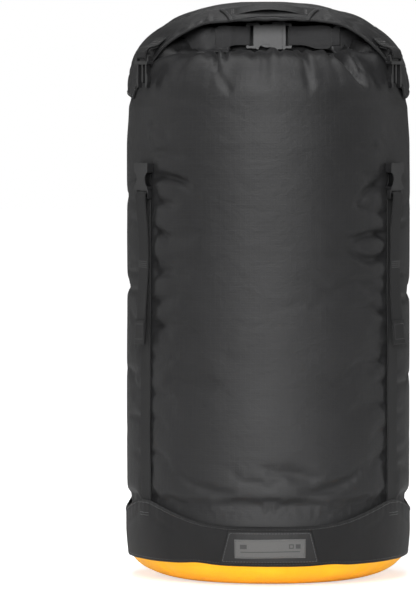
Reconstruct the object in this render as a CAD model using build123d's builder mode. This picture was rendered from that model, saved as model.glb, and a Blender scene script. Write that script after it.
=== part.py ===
"""Compression sack, 35 litre class: a round roll-top dry sack with a fabric compression lid,
four side webbing straps with side-release ladder buckles, a scalloped base skirt and a coated base.

Frame: millimetres, +Z up, origin on the resting plane under the middle of the base,
front (label side) towards -Y. An azimuth is measured from the front (-Y) towards +X.
"""

import os
from math import copysign, cos, pi, radians, sin

from build123d import *

os.makedirs("parts", exist_ok=True)

# ------------------------------------------------------------------ driving sizes
OVERALL_H = 600.0          # top of the lid above the floor, sack full
FABRIC_T = 1.4             # coated fabric with its seam allowance

# base
BASE_R = 146.0             # outer radius of the base fabric
BASE_FLAT_R = 84.0         # the part of the base that lies flat
BASE_CORNER_H = 36.0       # height of the base's rounding
BASE_TOP_Z = 38.0
TAPE_GAP, TAPE_T, TAPE_H = 0.1, 0.6, 20.0

# fabric tube: three rings that nest when the sack is compressed
RING_GAP = 1.1
WALL_R = 144.4             # outer radius of the lowest ring
MIDDLE_R = WALL_R - FABRIC_T - RING_GAP
UPPER_R = MIDDLE_R - FABRIC_T - RING_GAP
WALL_Z = (35.4, 182.0)
MIDDLE_Z = (178.5, 331.0)
UPPER_Z = 323.0            # lower edge of the upper ring
SHOULDER_R = 144.2
SHOULDER_Z = 484.5         # where the upper ring widens to the shoulder
SHOULDER_SPRING_Z = 500.0  # where the shoulder starts to curve inwards
SHOULDER_TOP_Z = 548.4

# base skirt
SKIRT_T = 1.3
SKIRT_R = 147.6            # inner radius of its straight part
SKIRT_OUTER_R = SKIRT_R + SKIRT_T
SKIRT_PEAK_Z = 86.0        # highest points of the scalloped edge
SKIRT_FRONT_Z = 64.0       # lowest points of the edge, front and back
SKIRT_SIDE_Z = 72.0        # lowest points of the edge, left and right
SKIRT_BINDING_W = 3.6
PATCH_TOP_Z, LABEL_TOP_Z = 60.0, 55.0

# lid
LID_R = 146.2
LID_EDGE_Z = 499.0
LID_SPRING_Z = 506.0       # where the dome starts
LID_N = 2.4                # superellipse exponent of the dome
LID_T = 1.6
LID_SEAM_A, LID_SEAM_B = 112.0, 54.0  # half axes of the top panel's seam
LID_SEAM_GAP = 0.1
LID_BINDING_W = 2.4

# carrying handle
GRIP_W = 21.0
GRIP_Y, GRIP_Z = -77.5, 590.8         # middle of the grip's foot line
GRIP_SLOPE = radians(17.2)

# straps and buckles
STRAP_W = 20.0
STRAP_T = 1.4
STRAP_AZIMUTH = {"front_left": -60.0, "front_right": 60.0, "back_right": 120.0, "back_left": -120.0}
BUCKLE_R = 149.5           # radius of the buckles' mid-plane
PLUG_Z = 535.0             # shoulder of the plug, sack full
SOCKET_Z = 434.0           # mouth of the socket, sack full
STRAP_FOOT_Z = 62.0
STRAP_TOP_V = -31.2        # top of the strap, from the socket's mouth
STRAP_BACK_W = -3.9        # inner face of the strap, from the buckle's mid-plane
TAIL_END_V = -190.0        # end of the free webbing, from the socket's mouth
TAIL_FRONT_W = 4.0         # outer face of the free webbing

# roll-top closure
ROLL_Z = 562.0
ROLL_H = 26.0
ROLL_T = 11.5
ROLL_A, ROLL_B, ROLL_N = 100.0, 62.0, 2.6   # half axes and exponent of its superellipse path
ROLL_FROM, ROLL_TO = -113.0, -417.5         # path angles from +X: front left, round to front right
ROLL_STEPS = 22
CLOSURE_Z = 565.0
ROLL_FRONT_Y = -60.0
ROLL_MOUTH_X = 13.4        # where the closure buckle's halves meet
ROLL_LEFT_X, ROLL_RIGHT_X = -46.0, 57.0
TAB_INSET = 0.2

# buckle details
BUCKLE_HALF_W = 14.0
BUCKLE_HALF_T = 3.5
WEB_END_HALF_T = 2.0
SLOT_W = 21.0              # width of every webbing slot
SOCKET_BAR = (-37.0, -34.0)  # v range of the single-slot socket's bar
PLUG_BAR = (7.3, 10.0)       # v range of the plug's bar
ARM_PIVOT_U, ARM_PIVOT_V = 8.6, 1.6
ARM_ROOT_R = 1.8
ARM_ROOT_GAP = 0.1
ARM_HALF_W = 1.4           # half width of an arm at its root

CUT_REACH = 220.0          # cutters reach this far both ways from the axis
FRONT_REACH = 200.0        # front clips reach this far towards -Y
CLIP_Z, CLIP_H = 480.0, 160.0  # height range of the clips on the lid


# ------------------------------------------------------------------ shared helpers
def save(part, label):
    part.label = label
    export_step(part, f"parts/{label}.step")


def buckle_plane(azimuth, z):
    """A buckle's frame: u across the webbing, v up, w radially outward."""
    a = radians(azimuth)
    return Plane(
        origin=(BUCKLE_R * sin(a), -BUCKLE_R * cos(a), z),
        x_dir=(cos(a), sin(a), 0),
        z_dir=(sin(a), -cos(a), 0),
    )


def edge_plane(plane):
    """Plane on one edge of a buckle's webbing: (v, w) in the plane, normal along u."""
    return Plane(
        origin=plane.origin - plane.x_dir * (STRAP_W / 2), x_dir=plane.y_dir, z_dir=plane.x_dir
    )


def revolved(points):
    """A ring from a closed outline of (radius, height) points."""
    with BuildPart() as ring:
        with BuildSketch(Plane.XZ):
            with BuildLine():
                Polyline(*points, close=True)
            make_face()
        revolve(axis=Axis.Z)
    return ring.part


def tube(outer_r, thickness, bottom_z, top_z):
    with BuildPart() as ring:
        with BuildSketch(Plane.XY.offset(bottom_z)):
            Circle(outer_r)
            Circle(outer_r - thickness, mode=Mode.SUBTRACT)
        extrude(amount=top_z - bottom_z)
    return ring.part


def through_cutter(plane, curve, closing):
    """A solid right through the sack, bounded by a spline and a polyline through closing."""
    with BuildPart() as cutter:
        with BuildSketch(plane):
            with BuildLine():
                Spline(*curve)
                Polyline(curve[-1], *closing, curve[0])
            make_face()
        extrude(amount=CUT_REACH, both=True)
    return cutter.part


# ------------------------------------------------------------------ base
def base_corner(shrink):
    """Points of the base's rounding, from its flat part up to the wall."""
    width, height = BASE_R - BASE_FLAT_R - shrink, BASE_CORNER_H - shrink
    angles = [radians(i * 7.5) for i in range(13)]
    return [(BASE_FLAT_R + width * sin(a), BASE_CORNER_H - height * cos(a)) for a in angles]


with BuildPart() as base_fabric:
    with BuildSketch(Plane.XZ):
        outer, inner = base_corner(0.0), base_corner(FABRIC_T)
        with BuildLine():
            Line((0, 0), outer[0])
            Spline(*outer, tangents=[(1, 0), (0, 1)])
            Polyline(outer[-1], (BASE_R, BASE_TOP_Z), (BASE_R - FABRIC_T, BASE_TOP_Z), inner[-1])
            Spline(*reversed(inner), tangents=[(0, -1), (-1, 0)])
            Line(inner[0], (0, FABRIC_T))
            Line((0, FABRIC_T), (0, 0))
        make_face()
    revolve(axis=Axis.Z)
save(base_fabric.part, "base_fabric")

tape_r = WALL_R - FABRIC_T - TAPE_GAP
save(tube(tape_r, TAPE_T, BASE_TOP_Z, BASE_TOP_Z + TAPE_H), "base_seam_tape")

# ------------------------------------------------------------------ base skirt
# inner face, (radius, z)
SKIRT_IN = [(145.2, 24.0), (146.5, 34.0), (SKIRT_R, 46.0), (SKIRT_R, SKIRT_PEAK_Z)]
SKIRT_OUT = [(r + SKIRT_T, z) for r, z in SKIRT_IN]

# scalloped edge seen from the front, (x, z), and from the side, (y, z)
FRONT_SCALLOP = [
    (-124, SKIRT_PEAK_Z), (-80, 69.5), (0, SKIRT_FRONT_Z), (80, 69.5), (124, SKIRT_PEAK_Z),
]
SIDE_SCALLOP = [(-64, SKIRT_PEAK_Z), (0, SKIRT_SIDE_Z), (64, SKIRT_PEAK_Z)]
SCALLOP_CUT_TOP_Z = 130

scallops = [
    through_cutter(plane, curve, [(curve[-1][0], SCALLOP_CUT_TOP_Z), (curve[0][0], SCALLOP_CUT_TOP_Z)])
    for plane, curve in ((Plane.XZ, FRONT_SCALLOP), (Plane.YZ, SIDE_SCALLOP))
]


def scalloped(blank):
    with BuildPart() as trimmed:
        add(blank)
        add(scallops, mode=Mode.SUBTRACT)
    return trimmed.part


save(scalloped(revolved(SKIRT_IN + SKIRT_OUT[::-1])), "base_skirt")

# the binding is what a scalloped band keeps when its own lowered copy is taken away
BAND_IN_R, BAND_OUT_R, BAND_FOOT_Z = SKIRT_OUTER_R + 0.1, SKIRT_OUTER_R + 0.7, 50.0
band = scalloped(revolved([
    (BAND_IN_R, BAND_FOOT_Z), (BAND_IN_R, SKIRT_PEAK_Z),
    (BAND_OUT_R, SKIRT_PEAK_Z), (BAND_OUT_R, BAND_FOOT_Z),
]))
with BuildPart() as skirt_binding:
    add(band)
    with Locations((0, 0, -SKIRT_BINDING_W)):
        add(band, mode=Mode.SUBTRACT)
save(skirt_binding.part, "skirt_binding")


def skirt_layer(inner_gap, outer_gap, top_z):
    """A ring lying on the skirt, between two distances from its outer face."""
    outline = SKIRT_OUT[:3] + [(SKIRT_OUTER_R, top_z)]
    inner_side = [(r + inner_gap, z) for r, z in outline]
    outer_side = [(r + outer_gap, z) for r, z in outline]
    return revolved(inner_side + outer_side[::-1])


# reinforcement patch and size label on the front of the skirt
patch_ring = skirt_layer(0.1, 0.6, PATCH_TOP_Z)
with BuildPart() as label_patch:
    add(patch_ring)
    with BuildSketch(Plane.XZ):
        with BuildLine():
            Polyline((-52, 25.5), (52, 25.5), (43, PATCH_TOP_Z), (-43, PATCH_TOP_Z), close=True)
        make_face()
    extrude(amount=FRONT_REACH, mode=Mode.INTERSECT)
save(label_patch.part, "label_patch")

label_ring = skirt_layer(0.7, 1.0, LABEL_TOP_Z)
with BuildPart() as size_label:
    add(label_ring)
    with BuildSketch(Plane.XZ):
        with Locations((0, 42.0)):
            Rectangle(73.5, 19.5)
    extrude(amount=FRONT_REACH, mode=Mode.INTERSECT)
save(size_label.part, "size_label")

# ------------------------------------------------------------------ fabric tube
save(tube(WALL_R, FABRIC_T, *WALL_Z), "sack_wall_lower")
save(tube(MIDDLE_R, FABRIC_T, *MIDDLE_Z), "sack_wall_middle")

# shoulder from its rim in to the axis, (radius, z)
SHOULDER_OUT = [
    (SHOULDER_R, SHOULDER_SPRING_Z), (134.5, 527.0), (112.0, 541.0), (80.0, 547.0),
    (0.0, SHOULDER_TOP_Z),
]
# its inner face, from the axis out to the rim
SHOULDER_IN = [
    (0.0, SHOULDER_TOP_Z - FABRIC_T), (79.8, 547.0 - FABRIC_T), (111.3, 541.0 - FABRIC_T * 1.1),
    (133.2, 526.2), (SHOULDER_R - FABRIC_T, SHOULDER_SPRING_Z),
]
with BuildPart() as sack_wall_upper:
    with BuildSketch(Plane.XZ):
        with BuildLine():
            Polyline(
                (UPPER_R - FABRIC_T, UPPER_Z), (UPPER_R, UPPER_Z), (UPPER_R, SHOULDER_Z - 2.0),
                (SHOULDER_R, SHOULDER_Z), SHOULDER_OUT[0],
            )
            Spline(*SHOULDER_OUT, tangents=[(0, 1), (-1, 0)])
            Line(SHOULDER_OUT[-1], SHOULDER_IN[0])
            Spline(*SHOULDER_IN, tangents=[(1, 0), (0, -1)])
            Polyline(
                SHOULDER_IN[-1], (SHOULDER_R - FABRIC_T, SHOULDER_Z + 0.7),
                (UPPER_R - FABRIC_T, SHOULDER_Z - 1.2), (UPPER_R - FABRIC_T, UPPER_Z),
            )
        make_face()
    revolve(axis=Axis.Z)
save(sack_wall_upper.part, "sack_wall_upper")


# ------------------------------------------------------------------ roll-top closure
def roll_point(degrees):
    """Point of the roll's superellipse path."""
    c, s = cos(radians(degrees)), sin(radians(degrees))
    x = ROLL_A * copysign(abs(c) ** (2 / ROLL_N), c)
    y = ROLL_B * copysign(abs(s) ** (2 / ROLL_N), s)
    return (x, y, ROLL_Z)


ROLL_PATH = [
    roll_point(ROLL_FROM + i * (ROLL_TO - ROLL_FROM) / ROLL_STEPS) for i in range(ROLL_STEPS + 1)
]


def roll_sweep(section):
    """A bar running round the roll's horseshoe path, open at the front."""
    with BuildPart() as rolled:
        with BuildLine() as way:
            Spline(*ROLL_PATH)
        with BuildSketch(Plane(origin=way.line @ 0, z_dir=way.line % 0, x_dir=(0, 0, 1))):
            add(section)
        sweep()
    return rolled.part


# sections: x is up, -y is the outer side of the horseshoe
with BuildSketch() as roll_section:
    RectangleRounded(ROLL_H, ROLL_T, 5.0)
    # room for the stiffener
    Rectangle(20.8, 3.2, mode=Mode.SUBTRACT)
    # slit in the outer face
    with Locations((-6.0, -4.0)):
        Rectangle(0.6, 8.0, mode=Mode.SUBTRACT)
with BuildSketch() as stiffener_section:
    RectangleRounded(20.0, 2.2, 0.6)
save(roll_sweep(roll_section.sketch), "rolltop_roll")
save(roll_sweep(stiffener_section.sketch), "rolltop_stiffener")


# ------------------------------------------------------------------ side-release buckles
def make_socket(plane, ladder):
    """Receptacle half. Its mouth is at v = 0 and its webbing end at v = -37."""
    with BuildPart() as socket:
        # body
        with BuildSketch(plane) as outline:
            with Locations((0, -13.5)):
                Rectangle(2 * BUCKLE_HALF_W, 27.0)
            fillet(outline.vertices(), 1.2)
        extrude(amount=BUCKLE_HALF_T, both=True)
        # webbing end
        with BuildSketch(plane) as web_end:
            with Locations((0, -31.0)):
                Rectangle(26.0, 12.0)
            fillet(web_end.vertices(), 1.6)
        extrude(amount=WEB_END_HALF_T, both=True)
        # cavity, open at the mouth
        with BuildSketch(plane):
            with Locations((0, -12.7)):
                Rectangle(24.8, 25.6)
        extrude(amount=2.5, both=True, mode=Mode.SUBTRACT)
        # side windows where the arms show
        with BuildSketch(plane):
            with Locations((16.2, -17.0), (-16.2, -17.0)):
                Circle(7.8)
        extrude(amount=BUCKLE_HALF_T + 1, both=True, mode=Mode.SUBTRACT)
        # webbing slots
        with BuildSketch(plane):
            if ladder:
                with Locations((0, -29.75), (0, -34.0)):
                    Rectangle(SLOT_W, 2.5)
            else:
                with Locations((0, -31.75)):
                    Rectangle(SLOT_W, 4.5)
        extrude(amount=BUCKLE_HALF_T + 1, both=True, mode=Mode.SUBTRACT)
        if ladder:
            # the lower bar's lift tab, pulled to let the webbing run
            with BuildSketch(plane.offset(WEB_END_HALF_T)):
                with Locations((0, -36.4)):
                    Rectangle(16.0, 1.2)
            extrude(amount=0.5)
    return socket.part


def make_plug(plane):
    """Insert half without its two spring arms. Its shoulder is at v = 0."""
    with BuildPart() as plug:
        with BuildSketch(plane) as shoulder:
            with Locations((0, 1.95)):
                Rectangle(2 * BUCKLE_HALF_W, 3.3)
            fillet(shoulder.vertices(), 0.8)
        extrude(amount=BUCKLE_HALF_T, both=True)
        # frame round the webbing slot
        with BuildSketch(plane) as frame:
            with Locations((0, 6.5)):
                Rectangle(26.0, 7.0)
            fillet(frame.vertices(), 1.4)
            with Locations((0, 5.55)):
                Rectangle(SLOT_W, 3.5, mode=Mode.SUBTRACT)
        extrude(amount=1.6, both=True)
        # middle tongue
        with BuildSketch(plane):
            with BuildLine():
                Polyline(
                    (-1.6, 0.4), (-1.6, -17.0), (-0.8, -19.0),
                    (0.8, -19.0), (1.6, -17.0), (1.6, 0.4), close=True,
                )
            make_face()
        extrude(amount=1.5, both=True)
        # pockets for the arms' round roots
        with BuildSketch(plane):
            with Locations((ARM_PIVOT_U, ARM_PIVOT_V), (-ARM_PIVOT_U, ARM_PIVOT_V)):
                Circle(ARM_ROOT_R + ARM_ROOT_GAP)
            with Locations((ARM_PIVOT_U, 0.55), (-ARM_PIVOT_U, 0.55)):
                Rectangle(3.7, 2.1)
        extrude(amount=2.4, both=True, mode=Mode.SUBTRACT)
    return plug.part


# one spring arm on the +u side, (u, v)
ARM_OUTLINE = [
    (ARM_PIVOT_U - ARM_HALF_W, ARM_PIVOT_V), (ARM_PIVOT_U - ARM_HALF_W, -20.0), (8.0, -23.6),
    (9.6, -23.6), (12.0, -17.5), (12.0, -11.0), (10.2, -8.2),
    (ARM_PIVOT_U + ARM_HALF_W, -2.0), (ARM_PIVOT_U + ARM_HALF_W, ARM_PIVOT_V),
]


def make_arm(plane, side):
    """One spring arm of the plug, side +1 or -1, with its round root in the shoulder."""
    with BuildPart() as arm:
        with BuildSketch(plane):
            with BuildLine():
                Polyline(*[(side * u, v) for u, v in ARM_OUTLINE], close=True)
            make_face()
            with Locations((side * ARM_PIVOT_U, ARM_PIVOT_V)):
                Circle(ARM_ROOT_R)
        extrude(amount=2.2, both=True)
    return arm.part


def save_buckle(name, socket_plane, plug_plane, ladder):
    save(make_socket(socket_plane, ladder), f"{name}_socket")
    save(make_plug(plug_plane), f"{name}_plug")
    save(make_arm(plug_plane, 1), f"{name}_arm_a")
    save(make_arm(plug_plane, -1), f"{name}_arm_b")


# ------------------------------------------------------------------ webbing
# free webbing through the ladder's upper slot and down in front, (v, w)
TAIL_RUN = [
    (-30.9, STRAP_BACK_W), (-29.9, STRAP_BACK_W), (-29.2, -3.2), (-29.2, 3.3),
    (-29.9, TAIL_FRONT_W), (TAIL_END_V, TAIL_FRONT_W), (TAIL_END_V, TAIL_FRONT_W - STRAP_T),
    (-30.6, TAIL_FRONT_W - STRAP_T), (-30.6, STRAP_BACK_W + STRAP_T),
    (-30.9, STRAP_BACK_W + STRAP_T),
]
# its thicker folded end
TAIL_FOLD = [(TAIL_END_V, 2.2), (TAIL_END_V, 5.4), (TAIL_END_V + 26, 4.6), (TAIL_END_V + 26, 2.4)]


def make_tail(plane):
    with BuildPart() as tail:
        for outline in (TAIL_RUN, TAIL_FOLD):
            with BuildSketch(edge_plane(plane)):
                with BuildLine():
                    Polyline(*outline, close=True)
                make_face()
            extrude(amount=STRAP_W)
    return tail.part


def make_strap(socket_plane):
    """The fixed run of webbing, from the base skirt up to the socket."""
    foot_v = STRAP_FOOT_Z - SOCKET_Z
    with BuildPart() as strap:
        with BuildSketch(socket_plane.offset(STRAP_BACK_W)):
            with Locations((0, (foot_v + STRAP_TOP_V) / 2)):
                Rectangle(STRAP_W, STRAP_TOP_V - foot_v)
        extrude(amount=STRAP_T)
    return strap.part


LOOP_T = 1.2               # half thickness of the doubled webbing


def web_loop(plane, bar, far, reach):
    """Webbing folded round a bar with v range bar, running flat to v = far.

    reach is half the opening left for the bar's thickness.
    """
    away = 1 if far > bar[1] else -1
    low, high = bar[0] - 0.2, bar[1] + 0.2
    near_end = low - LOOP_T if away > 0 else high + LOOP_T
    bar_end = high if away > 0 else low
    neck = bar_end + away * 6.0
    half_t = reach + LOOP_T
    round_end = near_end + away * half_t * 0.4
    with BuildPart() as loop:
        with BuildSketch(edge_plane(plane)):
            with BuildLine():
                Polyline(
                    (near_end, -half_t * 0.6), (near_end, half_t * 0.6), (round_end, half_t),
                    (bar_end, half_t), (neck, LOOP_T), (far, LOOP_T), (far, -LOOP_T),
                    (neck, -LOOP_T), (bar_end, -half_t), (round_end, -half_t), close=True,
                )
            make_face()
            with Locations(((low + high) / 2, 0)):
                Rectangle(high - low, 2 * reach, mode=Mode.SUBTRACT)
        extrude(amount=STRAP_W)
    return loop.part


# closure buckle on the roll-top, with its two tabs: u down, v towards +X, w to the front
ROLL_PLANE = Plane(
    origin=(ROLL_MOUTH_X, ROLL_FRONT_Y, CLOSURE_Z), x_dir=(0, 0, -1), z_dir=(0, -1, 0)
)
save_buckle("rolltop", ROLL_PLANE, ROLL_PLANE, ladder=False)
left_end = ROLL_LEFT_X - ROLL_MOUTH_X + TAB_INSET
right_end = ROLL_RIGHT_X - ROLL_MOUTH_X - TAB_INSET
save(web_loop(ROLL_PLANE, SOCKET_BAR, left_end, reach=2.2), "rolltop_tab_left")
save(web_loop(ROLL_PLANE, PLUG_BAR, right_end, reach=1.7), "rolltop_tab_right")

# the four compression straps
for name, azimuth in STRAP_AZIMUTH.items():
    socket_plane = buckle_plane(azimuth, SOCKET_Z)
    save_buckle(name, socket_plane, buckle_plane(azimuth, PLUG_Z), ladder=True)
    save(make_tail(socket_plane), f"{name}_tail")
    save(make_strap(socket_plane), f"{name}_strap")


# ------------------------------------------------------------------ lid
def dome_points(grow, count=22):
    """The dome's outline from the springing line up to the crown, grown outwards."""
    radius, height = LID_R + grow, OVERALL_H - LID_SPRING_Z + grow
    power = 2 / LID_N
    angles = [pi / 2 * i / count for i in range(count)]
    side = [(radius * cos(a) ** power, LID_SPRING_Z + height * sin(a) ** power) for a in angles]
    return side + [(0.0, LID_SPRING_Z + height)]


def dome_shell(outer_grow, inner_grow):
    """A shell between two grown outlines of the dome, with a short straight rim."""
    outer, inner = dome_points(outer_grow), dome_points(inner_grow)
    outer_rim, inner_rim = (outer[0][0], LID_EDGE_Z), (inner[0][0], LID_EDGE_Z)
    with BuildPart() as shell:
        with BuildSketch(Plane.XZ):
            with BuildLine():
                Line(outer_rim, outer[0])
                Spline(*outer, tangents=[(0, 1), (-1, 0)])
                Line(outer[-1], inner[-1])
                Spline(*reversed(inner), tangents=[(1, 0), (0, -1)])
                Line(inner[0], inner_rim)
                Line(inner_rim, outer_rim)
            make_face()
        revolve(axis=Axis.Z)
    return shell.part


# the lid's front and back arches, (x, z)
ARCH = [
    (-119.5, 541.0), (-112.0, 550.0), (-101.0, 560.0), (-86.6, 569.5), (-74.0, 575.5),
    (-50.5, 579.6), (0.0, 581.0), (50.5, 579.6), (74.0, 575.5),
    (86.6, 569.5), (101.0, 560.0), (112.0, 550.0), (119.5, 541.0),
]
# edge of the side flap below the arch's right end, (x, z)
FLAP_CORNER = [(129.0, 528.0), (137.0, 513.0), (141.5, 498.0), (142.5, 480.0)]
# low scallop in the side flaps' lower edge, (y, z)
FLAP_SCALLOP = [(-40, 498.0), (0, 505.0), (40, 498.0)]

lid_cutters = [
    through_cutter(Plane.XZ, ARCH, FLAP_CORNER + [(-x, z) for x, z in reversed(FLAP_CORNER)]),
    through_cutter(Plane.YZ, FLAP_SCALLOP, [(40, 480.0), (-40, 480.0)]),
]
lid_blank = dome_shell(0.0, -LID_T)
with BuildPart() as lid_top_panel:
    add(lid_blank)
    with BuildSketch(Plane.XY.offset(CLIP_Z)):
        Ellipse(LID_SEAM_A - LID_SEAM_GAP, LID_SEAM_B - LID_SEAM_GAP)
    extrude(amount=CLIP_H, mode=Mode.INTERSECT)
save(lid_top_panel.part, "lid_top_panel")

with BuildPart() as lid_side_band:
    add(lid_blank)
    with BuildSketch(Plane.XY.offset(CLIP_Z)):
        Ellipse(LID_SEAM_A, LID_SEAM_B)
    extrude(amount=CLIP_H, mode=Mode.SUBTRACT)
    add(lid_cutters, mode=Mode.SUBTRACT)
save(lid_side_band.part, "lid_side_band")

# binding along both arches
raised_arch = [(x, z + LID_BINDING_W) for x, z in ARCH]
binding_blank = dome_shell(0.65, 0.08)
with BuildPart() as lid_binding:
    add(binding_blank)
    with BuildSketch(Plane.XZ):
        with BuildLine():
            Spline(*ARCH)
            Line(ARCH[-1], raised_arch[-1])
            Spline(*reversed(raised_arch))
            Line(raised_arch[0], ARCH[0])
        make_face()
    extrude(amount=CUT_REACH, both=True, mode=Mode.INTERSECT)
save(lid_binding.part, "lid_binding")

# carrying handle on the front of the lid: a sewn patch and a raised grip
patch_blank = dome_shell(1.5, 0.72)
with BuildPart() as handle_patch:
    add(patch_blank)
    with BuildSketch(Plane.XY.offset(CLIP_Z)):
        with BuildLine():
            Polyline((-41.5, -95.0), (41.5, -95.0), (51.5, -57.5), (-51.5, -57.5), close=True)
        make_face()
    extrude(amount=CLIP_H, mode=Mode.INTERSECT)
save(handle_patch.part, "handle_patch")

# grip's faces, (x, height off the lid's slope)
GRIP_TOP = [(-39.5, 0.4), (-32.0, 1.9), (0, 5.6), (32.0, 1.9), (39.5, 0.4)]
GRIP_UNDER = [(39.5, -1.0), (31.5, 0.2), (0, 3.6), (-31.5, 0.2), (-39.5, -1.0)]
# at the grip's back edge, facing forwards and down the slope
grip_plane = Plane(
    origin=(0, GRIP_Y + GRIP_W / 2 * cos(GRIP_SLOPE), GRIP_Z + GRIP_W / 2 * sin(GRIP_SLOPE)),
    x_dir=(1, 0, 0),
    z_dir=(0, -cos(GRIP_SLOPE), -sin(GRIP_SLOPE)),
)
with BuildPart() as handle_grip:
    with BuildSketch(grip_plane):
        with BuildLine():
            Spline(*GRIP_TOP)
            Line(GRIP_TOP[-1], GRIP_UNDER[0])
            Spline(*GRIP_UNDER)
            Line(GRIP_UNDER[-1], GRIP_TOP[0])
        make_face()
    extrude(amount=GRIP_W)
save(handle_grip.part, "handle_grip")

# webbing from the plug's loop up and inwards to the lid, (v, w)
HANGER_RUN = [
    (16.4, 1.2), (18.2, 1.0), (20.6, -12.2), (27.0, -20.4), (25.8, -21.2), (19.2, -13.4),
    (16.4, -1.2),
]


def make_hanger(plane):
    """The webbing loop that ties one plug to the lid."""
    folded = web_loop(plane, PLUG_BAR, 17.5, reach=1.8)
    with BuildPart() as hanger:
        add(folded)
        with BuildSketch(edge_plane(plane)):
            with BuildLine():
                Polyline(*HANGER_RUN, close=True)
            make_face()
        extrude(amount=STRAP_W)
    return hanger.part


hangers = [make_hanger(buckle_plane(azimuth, PLUG_Z)) for azimuth in STRAP_AZIMUTH.values()]
with BuildPart() as lid_buckle_loops:
    add(hangers)
save(lid_buckle_loops.part, "lid_buckle_loops")
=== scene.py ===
"""Looks of a roll-top compression sack, built round its CAD frame.

The sack stands on z = 0 with its axis on z. Its front faces -Y and its right side +X.
Angles go round the axis in degrees: 0 is the front, 90 the right, -90 the left.
Geometry is in millimetres until put() turns it into metres; shader lengths are in metres.
"""

import math

import bmesh
import bpy
import numpy as np
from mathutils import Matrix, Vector


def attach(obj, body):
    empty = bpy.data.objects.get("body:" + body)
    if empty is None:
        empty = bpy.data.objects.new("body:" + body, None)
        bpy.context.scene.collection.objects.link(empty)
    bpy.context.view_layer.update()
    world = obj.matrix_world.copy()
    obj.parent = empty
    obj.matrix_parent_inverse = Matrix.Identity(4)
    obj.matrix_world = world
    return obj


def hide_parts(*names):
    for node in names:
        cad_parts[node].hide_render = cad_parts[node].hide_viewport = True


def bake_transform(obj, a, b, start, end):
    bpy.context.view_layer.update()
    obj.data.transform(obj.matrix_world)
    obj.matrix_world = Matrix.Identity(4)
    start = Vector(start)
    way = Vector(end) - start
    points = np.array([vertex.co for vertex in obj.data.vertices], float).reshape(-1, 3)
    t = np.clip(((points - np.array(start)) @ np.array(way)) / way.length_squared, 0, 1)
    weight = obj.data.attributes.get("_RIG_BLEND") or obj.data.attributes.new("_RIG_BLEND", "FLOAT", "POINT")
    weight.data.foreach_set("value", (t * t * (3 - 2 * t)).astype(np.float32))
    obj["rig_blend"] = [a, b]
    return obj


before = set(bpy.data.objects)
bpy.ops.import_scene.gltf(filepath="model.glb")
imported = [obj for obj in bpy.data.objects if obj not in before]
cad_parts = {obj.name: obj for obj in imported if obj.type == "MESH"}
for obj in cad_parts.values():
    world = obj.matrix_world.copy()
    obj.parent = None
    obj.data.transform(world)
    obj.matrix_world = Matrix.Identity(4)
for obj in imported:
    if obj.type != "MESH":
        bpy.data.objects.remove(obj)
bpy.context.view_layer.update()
TAU = 2 * math.pi
UP = np.array([0, 0, 1.0])

# Angle of each compression strap and its buckle.
BUCKLES = {"front_left": -60.0, "front_right": 60.0, "back_right": 120.0, "back_left": -120.0}
STRAPS = sorted(BUCKLES.values())

# The rolled mouth's centre line in plan is a superellipse.
MOUTH_HALF_X, MOUTH_HALF_Y, MOUTH_POWER = 100.0, 62.0, 2.6


# ---------------------------------------------------------------- numbers and noise
def smooth(low, high, x):
    """Smooth step: 0 at low, 1 at high."""
    share = np.clip((np.asarray(x, float) - low) / (high - low), 0, 1)
    return share * share * (3 - 2 * share)


def bell(x, centre=0.0, width=1.0):
    return np.exp(-(((np.asarray(x, float) - centre) / width) ** 2))


def turn(angle, centre):
    """Signed angle from centre to angle in degrees, wrapped."""
    return (np.asarray(angle, float) - centre + 180.0) % 360.0 - 180.0


def near_straps(angle, width):
    return sum(bell(turn(angle, strap), width=width) for strap in STRAPS)


def ring_angles(count):
    return np.arange(count) * 360.0 / count - 180.0


def soften(ring):
    """Averages each value of a closed ring with its neighbours, twice."""
    for _ in range(2):
        ring = (np.roll(ring, 1) + 2 * ring + np.roll(ring, -1)) / 4
    return ring


def value_noise(x, y, seed, wrap=64):
    """Smooth value noise on (x, y) in cells; wrap is how many cells x takes to repeat."""
    lattice = np.random.default_rng(seed).uniform(-1, 1, (64, 64))
    x, y = np.asarray(x, float), np.asarray(y, float)
    col, row = np.floor(x).astype(int), np.floor(y).astype(int)

    def ease(share):
        return share * share * share * (share * (share * 6 - 15) + 10)

    def at(i, j):
        return lattice[(i % wrap) % 64, j % 64]

    right, top = ease(x - col), ease(y - row)
    lower = at(col, row) * (1 - right) + at(col + 1, row) * right
    upper = at(col, row + 1) * (1 - right) + at(col + 1, row + 1) * right
    return lower * (1 - top) + upper * top


def spline(knots, values, x):
    """Cubic through the points, with its slopes taken from their neighbours."""
    knots, values, x = (np.asarray(part, float) for part in (knots, values, x))
    slope = np.gradient(values, knots)
    i = np.clip(np.searchsorted(knots, x) - 1, 0, len(knots) - 2)
    gap = knots[i + 1] - knots[i]
    t = np.clip((x - knots[i]) / gap, 0, 1)
    return (
        (2 * t**3 - 3 * t**2 + 1) * values[i]
        + (t**3 - 2 * t**2 + t) * gap * slope[i]
        + (-2 * t**3 + 3 * t**2) * values[i + 1]
        + (t**3 - t**2) * gap * slope[i + 1]
    )


def arc_length(points):
    """Distance along a polyline at each of its points."""
    steps = np.linalg.norm(np.diff(points, axis=0), axis=1)
    return np.concatenate([[0], np.cumsum(steps)])


def line_at(where, length, points):
    return np.stack([np.interp(where, length, column) for column in points.T], -1)


def curve_at(where, length, points):
    return np.stack([spline(length, column, where) for column in points.T], -1)


def even_line(points, count):
    """Evenly spaced points along a polyline, and their distances along it."""
    length = arc_length(points)
    where = np.linspace(0, length[-1], count)
    return line_at(where, length, points), where


def even_curve(points, step):
    """Points about step apart along a smooth curve through points."""
    points = np.asarray(points, float)
    length = arc_length(points)
    count = max(4, int(length[-1] / step) + 1)
    return curve_at(np.linspace(0, length[-1], count), length, points)


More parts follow.
